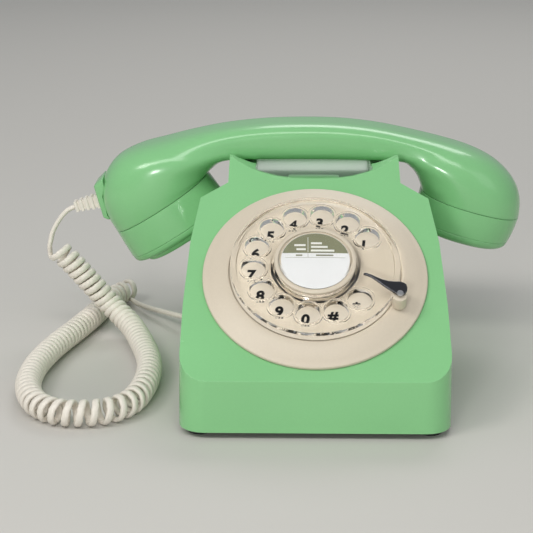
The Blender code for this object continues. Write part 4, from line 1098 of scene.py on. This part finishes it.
def build_stop():
    """The finger stop: a curved blade with a rounded head on a cream post."""
    outline = [(23.4, -8.7), (25.2, -9.7), (27.6, -11.5), (30.2, -14.1), (32.6, -16.6), (35.2, -18.9),
               (37.6, -20.7), (39.6, -21.9), (41.6, -22.2), (43.3, -21.2), (44.3, -19.4), (44.5, -17.4),
               (44.0, -15.6), (42.8, -14.5), (40.8, -14.1), (38.0, -14.3), (35.2, -14.0), (32.4, -13.0),
               (29.6, -11.3), (27.0, -9.5), (24.8, -8.2), (23.7, -8.1)]
    blade = bmesh.new()
    rim = [blade.verts.new((x * MM, y * MM, BLADE_LEVEL)) for x, y in outline]
    face = blade.faces.new(rim)
    raised = bmesh.ops.extrude_face_region(blade, geom=[face])
    top = [v for v in raised["geom"] if isinstance(v, bmesh.types.BMVert)]
    bmesh.ops.translate(blade, verts=top, vec=(0, 0, BLADE_THICK))
    blade = rounded_edges(blade, 0.00055, 3, 40)
    bmesh.ops.triangulate(blade, faces=[f for f in blade.faces if len(f.verts) > 4])
    bmesh.ops.subdivide_edges(blade, edges=[e for e in blade.edges if e.calc_length() > 0.003], cuts=2)
    for corner in blade.verts:
        share = min(max((corner.co.x - BLADE_START) / BLADE_LENGTH, 0), 1)
        corner.co.z += BLADE_BOW * (math.sin(share * math.pi) - (1 - share) ** 2) * MM
    piece = new_piece("stop_blade", blade, "dark_chrome", "base", DIAL, 40, ("finger_stop",))
    spot = Matrix.Translation((PILLAR_CIRCLE * math.cos(PILLAR_TURN),
                               PILLAR_CIRCLE * math.sin(PILLAR_TURN), 0))
    post = turned(in_mm([(0, 13.4), (2.9, 13.4), (3.3, 13.2), (3.45, 12.8), (3.5, 6.6), (3.5, 6.2),
                         (0, 6.2)]), 48)
    made = new_piece("stop_pillar", post, "cream", "base", DIAL @ spot, 30, ("stop_post",))


build_bezel()
build_number_plate()
build_numerals()
build_wheel()
build_hub()
build_stop()


# ---------------------------------------------------------------- stage and light

def area_light(name, location, target, size, power, colour):
    """A soft rectangular lamp aimed at a point. It isn't seen through the clear plastic."""
    data = bpy.data.lights.new(name, "AREA")
    data.shape = "RECTANGLE"
    data.size, data.size_y = size
    data.energy = power
    data.color = colour
    lamp = bpy.data.objects.new(name, data)
    lamp.location = location
    lamp.visible_transmission = False
    aim = Vector(target) - Vector(location)
    lamp.rotation_euler = aim.to_track_quat("-Z", "Y").to_euler()
    bpy.context.scene.collection.objects.link(lamp)


FLOOR_RADIUS = 4.0
FLOOR_COLOUR = (0.60, 0.58, 0.54, 1)
SKY_COLOUR = (0.92, 0.96, 1.0, 1)
SKY_STRENGTH = 0.34


def build_stage():
    """A plain pale floor and soft light from the left, the front and above."""
    floor = bmesh.new()
    bmesh.ops.create_circle(floor, cap_ends=True, segments=64, radius=FLOOR_RADIUS)
    mesh = bpy.data.meshes.new("floor")
    floor.to_mesh(mesh)
    floor.free()
    paint = bpy.data.materials.new("pale_floor")
    paint.use_nodes = True
    shader = paint.node_tree.nodes["Principled BSDF"]
    shader.inputs["Base Color"].default_value = FLOOR_COLOUR
    shader.inputs["Roughness"].default_value = 0.7
    mesh.materials.append(paint)
    ground = bpy.data.objects.new("floor", mesh)
    bpy.context.scene.collection.objects.link(ground)
    world = bpy.data.worlds.new("studio")
    world.use_nodes = True
    sky = world.node_tree.nodes["Background"]
    sky.inputs["Color"].default_value = SKY_COLOUR
    sky.inputs["Strength"].default_value = SKY_STRENGTH
    bpy.context.scene.world = world
    area_light("key_light", (-0.95, -0.75, 1.25), (0, 0, 0.05), (0.5, 0.5), 7.0, (1.0, 0.985, 0.96))
    area_light("window_light", (-0.1, -0.87, 1.3), (0, 0, 0.06), (1.2, 0.40), 7.0, (1.0, 0.995, 0.985))
    area_light("front_light", (-0.36, -1.35, 0.36), (0, 0, 0.08), (0.20, 0.20), 4.2, (1.0, 1.0, 1.0))
    area_light("fill_light", (1.1, -0.9, 0.9), (0, 0, 0.06), (0.9, 0.9), 1.8, (0.96, 0.98, 1.0))
    area_light("back_light", (0.3, 1.2, 1.3), (0, 0, 0.05), (1.0, 0.6), 6, (1.0, 1.0, 1.0))
    bpy.context.scene.view_settings.view_transform = "Standard"


build_stage()
